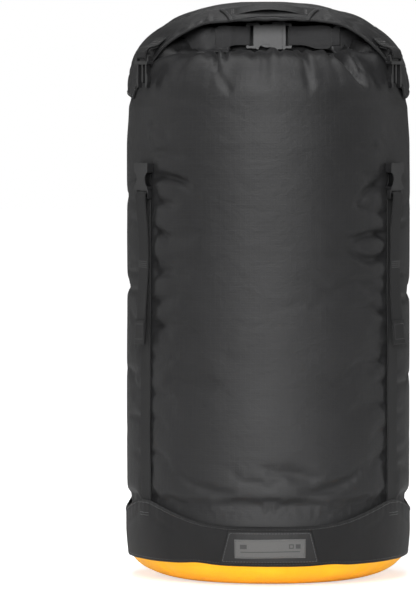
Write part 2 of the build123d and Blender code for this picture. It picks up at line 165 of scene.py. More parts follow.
def profile_table(points, count):
    """Evenly spaced points of a smooth (radius, height) profile, and their distances along it."""
    points = np.asarray(points, float)
    length = arc_length(points)
    return even_line(curve_at(np.linspace(0, length[-1], 1200), length, points), count)


def profile_normals(profile):
    """Outward normals (radius, height) of a profile that runs outward and up."""
    along = np.gradient(profile, axis=0)
    normals = np.stack([along[:, 1], -along[:, 0]], -1)
    return normals / np.linalg.norm(normals, axis=1, keepdims=True)


def xyz(radius, angle, z):
    turned = np.radians(angle)
    return np.stack(np.broadcast_arrays(radius * np.sin(turned), -radius * np.cos(turned), z), -1)


def unit(vectors):
    vectors = np.asarray(vectors, float)
    return vectors / np.maximum(np.linalg.norm(vectors, axis=-1, keepdims=True), 1e-12)


def radial(points):
    """Horizontal directions away from the axis."""
    return unit(points * [1, 1, 0])


# ---------------------------------------------------------------- materials
class Shader:
    """One principled material built from nodes. Inputs may be sockets or plain values."""

    def __init__(self, name):
        self.material = bpy.data.materials.new(name)
        self.material.use_nodes = True
        self.tree = self.material.node_tree
        self.tree.nodes.clear()
        output = self.node("OutputMaterial")
        self.surface = self.node("BsdfPrincipled")
        self.link(self.surface.outputs[0], output.inputs[0])

    def node(self, kind):
        return self.tree.nodes.new("ShaderNode" + kind)

    def link(self, source, target):
        self.tree.links.new(source, target)

    def feed(self, socket, value):
        if hasattr(value, "links"):
            self.link(value, socket)
        else:
            socket.default_value = value

    def cloth_uv(self):
        node = self.node("UVMap")
        node.uv_map = "cloth"
        return node.outputs[0]

    def split(self, vec):
        node = self.node("SeparateXYZ")
        self.link(vec, node.inputs[0])
        return node.outputs[0], node.outputs[1]

    def object_space(self):
        return self.node("TexCoord").outputs["Object"]

    def math(self, operation, first, second=0.0, clamp=False):
        node = self.node("Math")
        node.operation = operation
        node.use_clamp = clamp
        for socket, value in zip(node.inputs, (first, second, 0.0)):
            self.feed(socket, value)
        return node.outputs[0]

    def add(self, first, second):
        return self.math("ADD", first, second)

    def times(self, first, second):
        return self.math("MULTIPLY", first, second)

    def varied(self, base, noise, spread):
        """base, raised by up to spread where the noise is high."""
        return self.add(base, self.times(noise, spread))

    def stretch(self, vec, x, y):
        node = self.node("Mapping")
        self.link(vec, node.inputs["Vector"])
        node.inputs["Scale"].default_value = (x, y, 1.0)
        return node.outputs[0]

    def noise(self, vec, scale, detail, rough, distortion=0.0):
        node = self.node("TexNoise")
        self.link(vec, node.inputs["Vector"])
        node.inputs["Scale"].default_value = scale
        node.inputs["Detail"].default_value = detail
        node.inputs["Roughness"].default_value = rough
        node.inputs["Distortion"].default_value = distortion
        return node.outputs[0]

    def ramp(self, value, low, high, at_low=0.0, at_high=1.0):
        node = self.node("MapRange")
        node.clamp = True
        node.interpolation_type = "SMOOTHSTEP"
        for socket, setting in zip(node.inputs, (value, low, high, at_low, at_high)):
            self.feed(socket, setting)
        return node.outputs[0]

    def mix(self, factor, first, second):
        node = self.node("Mix")
        node.data_type = "RGBA"
        self.feed(node.inputs[0], factor)
        for socket, colour in ((node.inputs[6], first), (node.inputs[7], second)):
            self.feed(socket, colour if hasattr(colour, "links") else (*colour, 1.0))
        return node.outputs[2]

    def mottle(self, first, share, second, dark, light):
        """Dark to light by two noises, the first counting for share of the whole."""
        tone = self.add(self.times(first, share), self.times(second, 1 - share))
        return self.mix(self.ramp(tone, low=0.3, high=0.7), dark, light)

    def bump(self, height, strength, distance, under=None):
        node = self.node("Bump")
        node.inputs["Strength"].default_value = strength
        node.inputs["Distance"].default_value = distance
        self.link(height, node.inputs["Height"])
        if under is not None:
            self.link(under, node.inputs["Normal"])
        return node.outputs[0]

    def wave(self, along, pitch):
        return self.math("SINE", self.times(along, TAU / pitch))

    def weave(self, across, along, pitch):
        return self.times(self.wave(across, pitch), self.wave(along, pitch))

    def ridge(self, along, pitch, width):
        """1 on lines every pitch, falling to 0 within width."""
        cell = self.math("FRACT", self.math("DIVIDE", along, pitch))
        gap = self.math("ABSOLUTE", self.math("SUBTRACT", cell, 0.5))
        return self.ramp(self.times(gap, pitch), low=width, high=width * 0.25)

    def grid_lines(self, across, along, width, pitch=0.0052):
        """The raised square grid of ripstop cloth."""
        return self.math(
            "MAXIMUM", self.ridge(across, pitch, width), self.ridge(along, pitch, width)
        )

    def finish(self, colour, rough, normal=None, sheen=0.0, sheen_rough=0.5, specular=0.5):
        for name, value in (
            ("Base Color", colour),
            ("Roughness", rough),
            ("Sheen Weight", sheen),
            ("Sheen Roughness", sheen_rough),
            ("Specular IOR Level", specular),
        ):
            self.feed(self.surface.inputs[name], value)
        if normal is not None:
            self.link(normal, self.surface.inputs["Normal"])
        return self.material


def ripstop(name, dark, light, crinkle, rough):
    """Crinkled cloth with a fine weave and a raised square grid."""
    mat = Shader(name)
    vec = mat.cloth_uv()
    across, along = mat.split(vec)
    lines = mat.grid_lines(across, along, width=0.00042)
    weave = mat.weave(across, along, pitch=0.00072)
    blotch = mat.noise(vec, scale=16.0, detail=4.0, rough=0.6)
    fine = mat.noise(vec, scale=900.0, detail=2.0, rough=0.7)
    slub = mat.noise(mat.stretch(vec, x=1100.0, y=40.0), scale=1.0, detail=2.0, rough=0.6)
    tone = mat.add(mat.times(blotch, 0.45), mat.times(mat.add(fine, slub), 0.24))
    colour = mat.mix(mat.ramp(tone, low=0.25, high=0.75), dark, light)
    line_colour = [min(1.0, part * 1.6 + 0.003) for part in light]
    colour = mat.mix(mat.times(lines, 0.10), colour, line_colour)
    wide_folds = mat.noise(
        mat.stretch(vec, x=1.0, y=1.7), scale=34.0, detail=4.0, rough=0.55, distortion=0.35
    )
    small_folds = mat.noise(vec, scale=110.0, detail=3.0, rough=0.6)
    folds = mat.varied(wide_folds, small_folds, spread=0.22)
    normal = mat.bump(folds, strength=crinkle, distance=0.0022)
    threads = mat.add(mat.times(lines, 0.6), mat.times(weave, 0.28))
    normal = mat.bump(threads, strength=0.5, distance=0.00016, under=normal)
    rough = mat.varied(rough, fine, spread=0.14)
    return mat.finish(colour, rough, normal, sheen=0.018, sheen_rough=0.42, specular=0.34)


def knit(name, dark, light):
    mat = Shader(name)
    vec = mat.cloth_uv()
    across, along = mat.split(vec)
    slanted = mat.varied(across, along, spread=0.8)
    rows = mat.varied(mat.wave(along, pitch=0.0011), mat.wave(slanted, pitch=0.0014), spread=0.8)
    fine = mat.noise(vec, scale=700.0, detail=3.0, rough=0.7)
    blotch = mat.noise(vec, scale=22.0, detail=3.0, rough=0.6)
    colour = mat.mottle(fine, 0.5, blotch, dark, light)
    folds = mat.noise(vec, scale=60.0, detail=3.0, rough=0.5)
    normal = mat.bump(folds, strength=0.25, distance=0.0014)
    normal = mat.bump(rows, strength=0.45, distance=0.00018, under=normal)
    rough = mat.varied(0.66, fine, spread=0.14)
    return mat.finish(colour, rough, normal, sheen=0.05, sheen_rough=0.5, specular=0.22)


def webbing(name, dark, light, pitch=0.0016):
    """Flat tape with slanting ribs every pitch that zigzag across it."""
    mat = Shader(name)
    vec = mat.cloth_uv()
    across, along = mat.split(vec)
    zigzag = mat.math("PINGPONG", mat.add(across, 0.5), 0.0026)
    ribs = mat.wave(mat.varied(along, zigzag, spread=0.55), pitch)
    height = mat.varied(ribs, mat.wave(across, pitch=0.0013), spread=0.35)
    fine = mat.noise(vec, scale=1500.0, detail=2.0, rough=0.7)
    tone = mat.add(mat.times(mat.add(height, 1.35), 0.28), mat.times(fine, 0.35))
    colour = mat.mix(mat.ramp(tone, low=0.15, high=0.9), dark, light)
    ripple = mat.noise(mat.stretch(vec, x=0.6, y=1.0), scale=120.0, detail=2.0, rough=0.5)
    normal = mat.bump(ripple, strength=0.2, distance=0.0006)
    normal = mat.bump(height, strength=0.75, distance=0.00022, under=normal)
    rough = mat.varied(0.58, fine, spread=0.16)
    return mat.finish(colour, rough, normal, sheen=0.04, sheen_rough=0.4, specular=0.25)


def moulded(name, dark, light, rough):
    mat = Shader(name)
    vec = mat.object_space()
    fine = mat.noise(vec, scale=2600.0, detail=2.0, rough=0.6)
    wide = mat.noise(vec, scale=160.0, detail=3.0, rough=0.6)
    colour = mat.mottle(fine, 0.5, wide, dark, light)
    normal = mat.bump(fine, strength=0.35, distance=0.00008)
    normal = mat.bump(wide, strength=0.08, distance=0.0006, under=normal)
    return mat.finish(colour, mat.varied(rough, wide, spread=0.16), normal, specular=0.34)


def coated(name, dark, light, rough):
    """Smoother ripstop cloth with a coating."""
    mat = Shader(name)
    vec = mat.cloth_uv()
    across, along = mat.split(vec)
    weave = mat.weave(across, along, pitch=0.00085)
    lines = mat.grid_lines(across, along, width=0.0004)
    blotch = mat.noise(vec, scale=14.0, detail=4.0, rough=0.6)
    fine = mat.noise(vec, scale=800.0, detail=2.0, rough=0.6)
    colour = mat.mottle(blotch, 0.7, fine, dark, light)
    line_colour = [min(1.0, part * 1.25) for part in light]
    colour = mat.mix(mat.times(lines, 0.10), colour, line_colour)
    folds = mat.noise(vec, scale=45.0, detail=4.0, rough=0.55, distortion=0.3)
    normal = mat.bump(folds, strength=0.35, distance=0.0018)
    threads = mat.add(mat.times(weave, 0.3), mat.times(lines, 0.5))
    normal = mat.bump(threads, strength=0.35, distance=0.00012, under=normal)
    return mat.finish(colour, mat.varied(rough, fine, spread=0.14), normal, specular=0.28)


def laminate(name, dark, light, rough):
    mat = Shader(name)
    vec = mat.cloth_uv()
    grain = mat.noise(vec, scale=1300.0, detail=3.0, rough=0.65)
    blotch = mat.noise(vec, scale=40.0, detail=3.0, rough=0.6)
    colour = mat.mottle(grain, 0.55, blotch, dark, light)
    normal = mat.bump(blotch, strength=0.15, distance=0.001)
    normal = mat.bump(grain, strength=0.5, distance=0.00014, under=normal)
    return mat.finish(colour, mat.varied(rough, grain, spread=0.2), normal, specular=0.32)


# Extents (across, along) in metres of the label's dark marks: a long line, then three bars.
LABEL_MARKS = (
    ((-0.030, 0.031), (-0.0036, -0.0027)),
    ((-0.0305, -0.0235), (0.0, 0.0045)),
    ((0.0195, 0.0245), (0.0, 0.0045)),
    ((0.0265, 0.0315), (0.0, 0.0045)),
)
LABEL_HOLLOW = ((0.0205, 0.0235), (0.001, 0.0035))


def woven_label(name, dark, light, mark):
    """Woven label with plain bars and no lettering."""
    mat = Shader(name)
    vec = mat.cloth_uv()
    across, along = mat.split(vec)
    weft = mat.wave(along, pitch=0.00052)
    fine = mat.noise(vec, scale=1600.0, detail=2.0, rough=0.7)
    tone = mat.add(mat.times(weft, 0.2), fine)
    colour = mat.mix(mat.ramp(tone, low=0.25, high=0.8), dark, light)

    def band(value, low, high):
        return mat.times(
            mat.math("GREATER_THAN", value, low), mat.math("LESS_THAN", value, high)
        )

    def box(extent):
        return mat.times(band(along, *extent[1]), band(across, *extent[0]))

    marks = box(LABEL_MARKS[0])
    for extent in LABEL_MARKS[1:]:
        marks = mat.math("MAXIMUM", marks, box(extent))
    marks = mat.math("SUBTRACT", marks, box(LABEL_HOLLOW), clamp=True)
    colour = mat.mix(mat.times(marks, 0.85), colour, mark)
    normal = mat.bump(weft, strength=0.5, distance=0.00014)
    return mat.finish(colour, 0.55, normal, sheen=0.3, sheen_rough=0.35, specular=0.4)


def cotton(name, colour):
    mat = Shader(name)
    twist = mat.noise(mat.object_space(), scale=2400.0, detail=2.0, rough=0.7)
    dark = [part * 0.7 for part in colour]
    light = [min(1, part * 1.4) for part in colour]
    shade = mat.mix(mat.ramp(twist, low=0.3, high=0.7), dark, light)
    normal = mat.bump(twist, strength=0.6, distance=0.0001)
    return mat.finish(shade, 0.62, normal, sheen=0.3)


WALL_CLOTH = ripstop(
    "wall_fabric", dark=(0.0072, 0.0072, 0.0076), light=(0.0138, 0.0138, 0.0144),
    crinkle=0.5, rough=0.525,
)
LID_CLOTH = ripstop(
    "lid_fabric", dark=(0.0056, 0.0056, 0.0060), light=(0.0106, 0.0106, 0.0111),
    crinkle=0.42, rough=0.46,
)
# Same ripstop as the wall, made lighter: painted light that makes up for the lid arch's shade over the roll
ROLL_CLOTH_PAINTED_LIGHT = ripstop(
    "roll_fabric_painted_light", dark=(0.0190, 0.0190, 0.0198), light=(0.0330, 0.0330, 0.0342),
    crinkle=0.5, rough=0.44,
)
SKIRT_KNIT = knit(
    "skirt_knit", dark=(0.0053, 0.0053, 0.0056), light=(0.0096, 0.0096, 0.0100)
)
EDGE_TAPE = webbing(
    "binding_tape", dark=(0.0040, 0.0040, 0.0043), light=(0.0110, 0.0110, 0.0115), pitch=0.0011
)
STRAP_WEB = webbing(
    "strap_webbing", dark=(0.0032, 0.0032, 0.0034), light=(0.0080, 0.0080, 0.0084)
)
# Much lighter than the wall cloth: painted light that makes up for the lid arch's shade over the tabs
TAB_WEB_PAINTED_LIGHT = webbing(
    "closure_webbing_painted_light", dark=(0.0300, 0.0300, 0.0310), light=(0.0470, 0.0470, 0.0485),
    pitch=0.0011,
)
BASE_CLOTH = coated("base_fabric", dark=(0.95, 0.425, 0.008), light=(1.0, 0.490, 0.013), rough=0.44)
PATCH = laminate(
    "patch_laminate", dark=(0.0042, 0.0042, 0.0045), light=(0.0090, 0.0090, 0.0094), rough=0.50
)
GRIP_RUBBER = laminate(
    "grip_rubber", dark=(0.0030, 0.0030, 0.0032), light=(0.0075, 0.0075, 0.0078), rough=0.44
)
BLACK_PLASTIC = moulded(
    "black_acetal", dark=(0.0042, 0.0042, 0.0045), light=(0.0085, 0.0085, 0.0089), rough=0.30
)
GREY_PLASTIC = moulded(
    "grey_acetal", dark=(0.033, 0.0333, 0.0344), light=(0.055, 0.0554, 0.0570), rough=0.35
)
LABEL_WEAVE = woven_label(
    "label_weave", dark=(0.055, 0.055, 0.054), light=(0.100, 0.099, 0.097),
    mark=(0.016, 0.016, 0.017),
)
BLACK_THREAD = cotton("stitch_thread", colour=(0.0100, 0.0100, 0.0104))
GREY_THREAD = cotton("stitch_thread_grey", colour=(0.050, 0.050, 0.052))
SEAM_TAPE = laminate("seam_tape", dark=(0.10, 0.10, 0.102), light=(0.15, 0.15, 0.152), rough=0.42)


# ---------------------------------------------------------------- meshes
def put(name, verts, faces, uvs, mat):
    """A mesh object from millimetre vertices; uvs are per face corner, in metres of cloth."""
    mesh = bpy.data.meshes.new(name)
    rows = (np.asarray(verts, float) * 0.001).tolist()
    mesh.from_pydata(rows, [], [list(map(int, face)) for face in faces])
    layer = mesh.uv_layers.new(name="cloth")
    layer.data.foreach_set("uv", np.asarray(uvs, np.float32).ravel())
    mesh.polygons.foreach_set("use_smooth", [True] * len(mesh.polygons))
    mesh.update()
    piece = bpy.data.objects.new(name, mesh)
    bpy.context.scene.collection.objects.link(piece)
    if mat is not None:
        mesh.materials.append(mat)
    return piece


def grid_faces(rows, cols, closed):
    """Faces of a grid of points, and the (row, column) of each face corner in its UV grid.

    closed joins the last column to the first.
    """
    i, j = np.meshgrid(np.arange(rows - 1), np.arange(cols if closed else cols - 1), indexing="ij")
    after = (j + 1) % cols
    faces = [i * cols + j, i * cols + after, (i + 1) * cols + after, (i + 1) * cols + j]
    corners = [(i, j), (i, j + 1), (i + 1, j + 1), (i + 1, j)]
    corners = np.stack([np.stack(corner, -1) for corner in corners], 2)
    return np.stack(faces, -1).reshape(-1, 4), corners.reshape(-1, 2)


def sheet(name, points, uv, mat, closed=False, inside=None):
    """A grid surface with uv in millimetres, which has one more column if closed.

    inside is a point that its faces are turned away from.
    """
    rows, cols = points.shape[:2]
    faces, corners = grid_faces(rows, cols, closed)
    uvs = uv[corners[:, 0], corners[:, 1]] * 0.001
    piece = put(name, points.reshape(-1, 3), faces, uvs, mat)
    if inside is not None:
        centre = Vector(inside) * 0.001
        facing = sum((face.center - centre).dot(face.normal) * face.area
                     for face in piece.data.polygons)
        if facing < 0:
            piece.data.flip_normals()
    return piece


def close_columns(grid):
    """Repeats the first column after the last."""
    return np.concatenate([grid, grid[:, :1]], 1)


def rim_steps(rows, cols):
    """How many grid steps each point is from the nearest edge."""
    row = np.minimum(np.arange(rows), np.arange(rows)[::-1])
    col = np.minimum(np.arange(cols), np.arange(cols)[::-1])
    return np.minimum(row[:, None], col[None, :])


def fix_normals(piece):
    mesh = bmesh.new()
    mesh.from_mesh(piece.data)
    bmesh.ops.recalc_face_normals(mesh, faces=mesh.faces)
    mesh.to_mesh(piece.data)
    mesh.free()
    return piece


def sweep(name, mid, side, out, section, mat, closed=False, widths=None):
    """A loop of (side, out) points swept along mid; side and out are unit vectors there."""
    mid, side, out, section = (np.asarray(part, float) for part in (mid, side, out, section))
    count, size = len(mid), len(section)
    widths = np.ones(count) if widths is None else widths
    verts = (
        mid[:, None, :]
        + side[:, None, :] * (section[None, :, 0:1] * widths[:, None, None])
        + out[:, None, :] * section[None, :, 1:2]
    )
    along = arc_length(np.vstack([mid, mid[:1]]))
    girth = arc_length(np.vstack([section, section[:1]]))
    faces, uvs = [], []
    for i in range(count if closed else count - 1):
        start, end = i * size, (i + 1) % count * size
        for j in range(size):
            after = (j + 1) % size
            faces.append((start + j, start + after, end + after, end + j))
            left, right = section[j, 0], section[after, 0]
            if abs(left - right) < 1e-6:
                left, right = girth[j], girth[j + 1]
            uvs += [(left, along[i]), (right, along[i])]
            uvs += [(right, along[i + 1]), (left, along[i + 1])]
    if not closed:
        faces.append(tuple(range(size))[::-1])
        faces.append(tuple((count - 1) * size + j for j in range(size)))
        uvs += [tuple(point) for point in section[::-1]]
        uvs += [tuple(point) for point in section]
    return fix_normals(put(name, verts.reshape(-1, 3), faces, np.asarray(uvs) * 0.001, mat))


def web_section(width, thickness):
    """Outline of flat webbing: a thin, slightly waved strip with rounded edges."""
    half = thickness / 2
    flat = width / 2 - half
    points = [
        (x, half * (0.93 + 0.07 * math.cos(x / width * TAU * 4)))
        for x in np.linspace(-flat, flat, 9)
    ]
    for angle in np.radians((60, 20, -20, -60)):
        points.append((flat + half * math.cos(angle), half * math.sin(angle)))
    points = np.asarray(points)
    return np.vstack([points, -points])


def join(pieces, name, mat):
    """Joins meshes into a new one of a single material and removes them."""
    verts, faces, uvs = [], [], []
    offset = 0
    for piece in pieces:
        mesh = piece.data
        place = np.empty(len(mesh.vertices) * 3)
        mesh.vertices.foreach_get("co", place)
        verts.append(place.reshape(-1, 3))
        faces += [[vert + offset for vert in face.vertices] for face in mesh.polygons]
        uv = np.empty(len(mesh.loops) * 2, np.float32)
        mesh.uv_layers["cloth"].data.foreach_get("uv", uv)
        uvs.append(uv.reshape(-1, 2))
        offset += len(mesh.vertices)
    joined = put(name, np.vstack(verts) * 1000, faces, np.vstack(uvs), mat)
    joined.data.polygons.foreach_set("material_index", [0] * len(faces))
    for piece in pieces:
        mesh = piece.data
        bpy.data.objects.remove(piece)
        bpy.data.meshes.remove(mesh)
    return joined


# A stitch lengthways: share of its length from the middle, share of its radius.
STITCH_PROFILE = ((-0.5, 0.0), (-0.42, 0.72), (-0.2, 1.0), (0.2, 1.0), (0.42, 0.72), (0.5, 0.0))
STITCH_SIDES = 6
STITCH_SINK = 0.12


def thread(path, out, pitch, length, radius, closed=False):
    """Verts and faces of a run of raised stitches along path, standing off towards out."""
    path = np.asarray(path, float)
    out = np.broadcast_to(unit(out), path.shape)
    if closed:
        path, out = np.vstack([path, path[:1]]), np.vstack([out, out[:1]])
    along = arc_length(path)
    total = along[-1]
    count = max(1, int(total / pitch))
    verts, faces = [], []
    for i in range(count):
        where = (i + 0.5) * total / count
        ahead = line_at(min(where + 0.8, total), along, path)
        tangent = unit(ahead - line_at(max(where - 0.8, 0), along, path))
        lift = unit(line_at(where, along, out))
        lift = unit(lift - tangent * (lift @ tangent))
        across = np.cross(tangent, lift)
        centre = line_at(where, along, path) + lift * (radius - STITCH_SINK)
        first = len(verts)
        for place, share in STITCH_PROFILE:
            for j in range(STITCH_SIDES):
                angle = TAU * j / STITCH_SIDES
                spoke = lift * math.cos(angle) * 0.8 + across * math.sin(angle)
                verts.append(
                    centre + tangent * place * length + spoke * radius * max(share, 0.15)
                )
        last = first + (len(STITCH_PROFILE) - 1) * STITCH_SIDES
        for ring in range(first, last, STITCH_SIDES):
            for j in range(STITCH_SIDES):
                low, high = ring + j, ring + (j + 1) % STITCH_SIDES
                faces.append((low, high, high + STITCH_SIDES, low + STITCH_SIDES))
        faces.append(tuple(first + j for j in range(STITCH_SIDES))[::-1])
        faces.append(tuple(last + j for j in range(STITCH_SIDES)))
    return verts, faces


def stitching(name, runs, node, mat=BLACK_THREAD):
    """Joins runs of stitches into one object that rides on a frame node."""
    verts, faces = [], []
    for run_verts, run_faces in runs:
        faces += [tuple(vert + len(verts) for vert in face) for face in run_faces]
        verts += run_verts
    verts = np.asarray(verts)
    loops = [vert for face in faces for vert in face]
    uv = np.stack([verts[loops, 0] + verts[loops, 1], verts[loops, 2]], -1) * 0.001
    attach(fix_normals(put(name, verts, faces, uv, mat)), node)


def outline(corners, count):
    """Points along each side of a closed polygon in turn."""
    share = np.linspace(0, 1, count)[:, None]
    for start, end in zip(corners, corners[1:] + corners[:1]):
        yield np.asarray(start) * (1 - share) + np.asarray(end) * share


def register(piece, slot, *replaced, ride=None, thickness=None):
    """Hides the frame parts that a piece replaces, rides it on a node if given, and thickens it inward (mm).
    """
    if ride:
        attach(piece, ride)
    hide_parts(*replaced)
    if thickness:
        solid = piece.modifiers.new("thickness", "SOLIDIFY")
        solid.thickness = thickness * 0.001
        solid.offset = -1.0
        solid.use_rim = True
        solid.use_quality_normals = True


def set_weights(piece, weights):
    """Overwrites the share of a blended piece that follows its second node."""
    layer = piece.data.attributes["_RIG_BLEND"]
    layer.data.foreach_set("value", np.clip(weights, 0, 1).astype(np.float32))


def blend_heights(piece, lower, upper, low, high, soft):
    """Blends a piece between two nodes from height low to high, eased over soft of each end."""
    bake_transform(piece, lower, upper, start=(0, 0, low * 0.001), end=(0, 0, high * 0.001))
    z = np.array([vert.co.z for vert in piece.data.vertices]) * 1000
    share = np.clip((z - low) / (high - low), 0, 1)
    eased_end = (1 - soft) - (1 - share) ** 2 / (2 * soft)
    weights = np.where(share > 1 - soft, eased_end, share - soft / 2)
    weights = np.where(share < soft, share * share / (2 * soft), weights)
    set_weights(piece, weights / (1 - soft))


def settle(name, points, hold, pressure, frames, cap, shrink, bending):
    """How far a closed grid of cloth moves (mm) under pressure, limited to about cap.

    hold is how firmly each point is pinned.
    """
    rows, cols = points.shape[:2]
    cloth = sheet(name, points, np.zeros((rows, cols + 1, 2)), None, closed=True)
    rest = np.empty(rows * cols * 3)
    cloth.data.vertices.foreach_get("co", rest)
    rest = rest.reshape(-1, 3)
    group = cloth.vertex_groups.new(name="pin")
    levels = np.round(hold.ravel(), 2)
    for level in np.unique(levels):
        if level > 0:
            group.add(np.nonzero(levels == level)[0].tolist(), float(level), "REPLACE")
    modifier = cloth.modifiers.new("cloth", "CLOTH")
    tuning = modifier.settings
    tuning.quality = 5
    tuning.mass = 0.15
    tuning.tension_stiffness = 18
    tuning.compression_stiffness = 18
    tuning.shear_stiffness = 6
    tuning.bending_stiffness = bending
    tuning.air_damping = 2.0
    tuning.use_pressure = True
    tuning.uniform_pressure_force = pressure
    tuning.shrink_min = shrink
    tuning.vertex_group_mass = "pin"
    tuning.pin_stiffness = 1.0
    tuning.effector_weights.gravity = 0.0
    modifier.collision_settings.use_collision = False
    modifier.point_cache.frame_start = 1
    modifier.point_cache.frame_end = frames
    scene = bpy.context.scene
    for step in range(1, frames + 1):
        scene.frame_set(step)
    evaluated = cloth.evaluated_get(bpy.context.evaluated_depsgraph_get())
    moved = np.empty(rows * cols * 3)
    evaluated.data.vertices.foreach_get("co", moved)
    cloth.modifiers.remove(modifier)
    scene.frame_set(1)
    bpy.data.objects.remove(cloth)
    move = moved.reshape(-1, 3) - rest
    far = np.linalg.norm(move, axis=1, keepdims=True)
    limit = cap * 0.001
    eased = np.tanh(far / limit) * limit / np.maximum(far, 1e-9)
    move = move * np.where(far > 1e-9, eased, 1.0)
    return ((rest + move) * 1000).reshape(rows, cols, 3) - points


def upsample(field, rows, cols):
    """Resamples a (rows, cols, 3) field that wraps round in its columns."""
    row = np.linspace(0, field.shape[0] - 1, rows)
    col = np.arange(cols) * field.shape[1] / cols
    i, j = np.minimum(row.astype(int), field.shape[0] - 2), col.astype(int)
    up, right = (row - i)[:, None, None], (col - j)[None, :, None]
    up, right = up * up * (3 - 2 * up), right * right * (3 - 2 * right)
    after = (j + 1) % field.shape[1]
    first = field[i][:, j] * (1 - right) + field[i][:, after] * right
    second = field[i + 1][:, j] * (1 - right) + field[i + 1][:, after] * right
    return first * (1 - up) + second * up


# ---------------------------------------------------------------- the fabric body
SKIN_COLS, SKIN_ROWS = 360, 240
SKIN_SIM_COLS, SKIN_SIM_ROWS = 192, 128
SKIN_UV_RADIUS = 144.6
# Wall and crown, (radius, height) from the foot up and in to the axis.
SKIN_POINTS = [
    (143.4, 36), (143.6, 60), (142.6, 82), (143.9, 100), (144.7, 125), (144.9, 170),
    (144.9, 240), (144.6, 300), (144.8, 360), (144.8, 430), (144.4, 470), (143.2, 496),
    (140.0, 514), (133.8, 527.5), (123.8, 537.0), (109.0, 543.5), (91.0, 546.8),
    (70.0, 548.6), (40.0, 548.6), (0.6, 547.5),
]
SKIN_PROFILE, SKIN_LENGTHS = profile_table(SKIN_POINTS, SKIN_ROWS)
# The part of the profile below its highest point.
OUTER_RADII, OUTER_HEIGHTS = SKIN_PROFILE[: int(np.argmax(SKIN_PROFILE[:, 1]))].T

# Uneven filling: amplitude, cells round, cell height, seed.
SKIN_NOISE = ((1.5, 9, 95.0, 11), (0.8, 20, 44.0, 12), (0.35, 46, 21.0, 13))
STRAP_FOLD_HEIGHTS = (455, 418, 394, 366, 343, 318, 292, 268, 240, 205, 168, 132)
SIDE_NOTCHES = ((300, 3.2), (212, 1.6), (392, 1.4), (150, 1.5))  # height, depth
CROWN_GATHERS = 26


def strap_folds(angle, z):
    """Folds the straps pull into the cloth on both sides of them."""
    rng = np.random.default_rng(5)
    lift = 0
    for strap in STRAPS:
        for side in (-1, 1):
            for height in STRAP_FOLD_HEIGHTS:
                upper = 280 < height < 430
                start = height + rng.uniform(-7, 7)
                reach = rng.uniform(13, 27) * (1.25 if upper else 0.8)
                lean = rng.uniform(-0.5, 0.5)
                depth = rng.uniform(0.9, 2.3) * (1.3 if upper else 0.7)
                away = turn(angle, strap) * side
                along = smooth(2.0, 6.0, away) * (1 - smooth(reach * 0.4, reach, away))
                line = start + lean * away + 3.0 * np.sin(away / 9.0 + start)
                lift = lift - depth * along * bell(z, line, width=4.6)
                lift = lift + depth * 0.55 * along * bell(z, line + 9.5, width=6.5)
    return lift


def crown_gathers(angle, z):
    """Gathers under the roll."""
    rng = np.random.default_rng(9)
    rise = smooth(492, 522, z)
    lift = 0
    for i in range(CROWN_GATHERS):
        centre = -180 + 360 * (i + rng.uniform(-0.3, 0.3)) / CROWN_GATHERS
        width = rng.uniform(1.6, 3.4)
        depth = rng.uniform(0.5, 1.5)
        away = turn(angle, centre)
        lift = lift - rise * depth * bell(away, width=width) * 1.5
        lift = lift + rise * depth * 0.7 * bell(away, 1.9 * width, width=width * 1.3)
    return lift


def skin_relief(angle, radius, z):
    """How far the filled fabric stands off the smooth form."""
    around = (angle + 180.0) / 360.0
    lift = 0
    for amplitude, cells, height, seed in SKIN_NOISE:
        noise = value_noise(around * cells, z / height, seed, cells)
        lift = lift + amplitude * noise * smooth(86, 120, z)
    body = smooth(80, 96, z) * (1 - smooth(470, 500, z))
    # bulging between the straps, pressed in under them
    lift = lift + body * (1.2 - 2.9 * near_straps(angle, width=6.5))
    lift = lift + strap_folds(angle, z) + crown_gathers(angle, z)
    # the side seams pull in a little, with notches in the outline; lower ones on the right
    for seam in (90.0, -90.0):
        away = turn(angle, seam)
        lift = lift - 0.9 * bell(away, width=2.0) * body
        for height, depth in SIDE_NOTCHES:
            level = height + (6 if seam < 0 else 0)
            lift = lift - depth * bell(away, width=11) * bell(z, level, width=8)
    # loose cloth folds over the skirt's edge
    loose = 0.6 + 0.5 * value_noise(around * 14, 0, 21, 14)
    lift = lift + 1.3 * bell(z, 104, width=9) * loose - 1.0 * bell(z, 88, width=6)
    return lift * smooth(0, 60, radius)


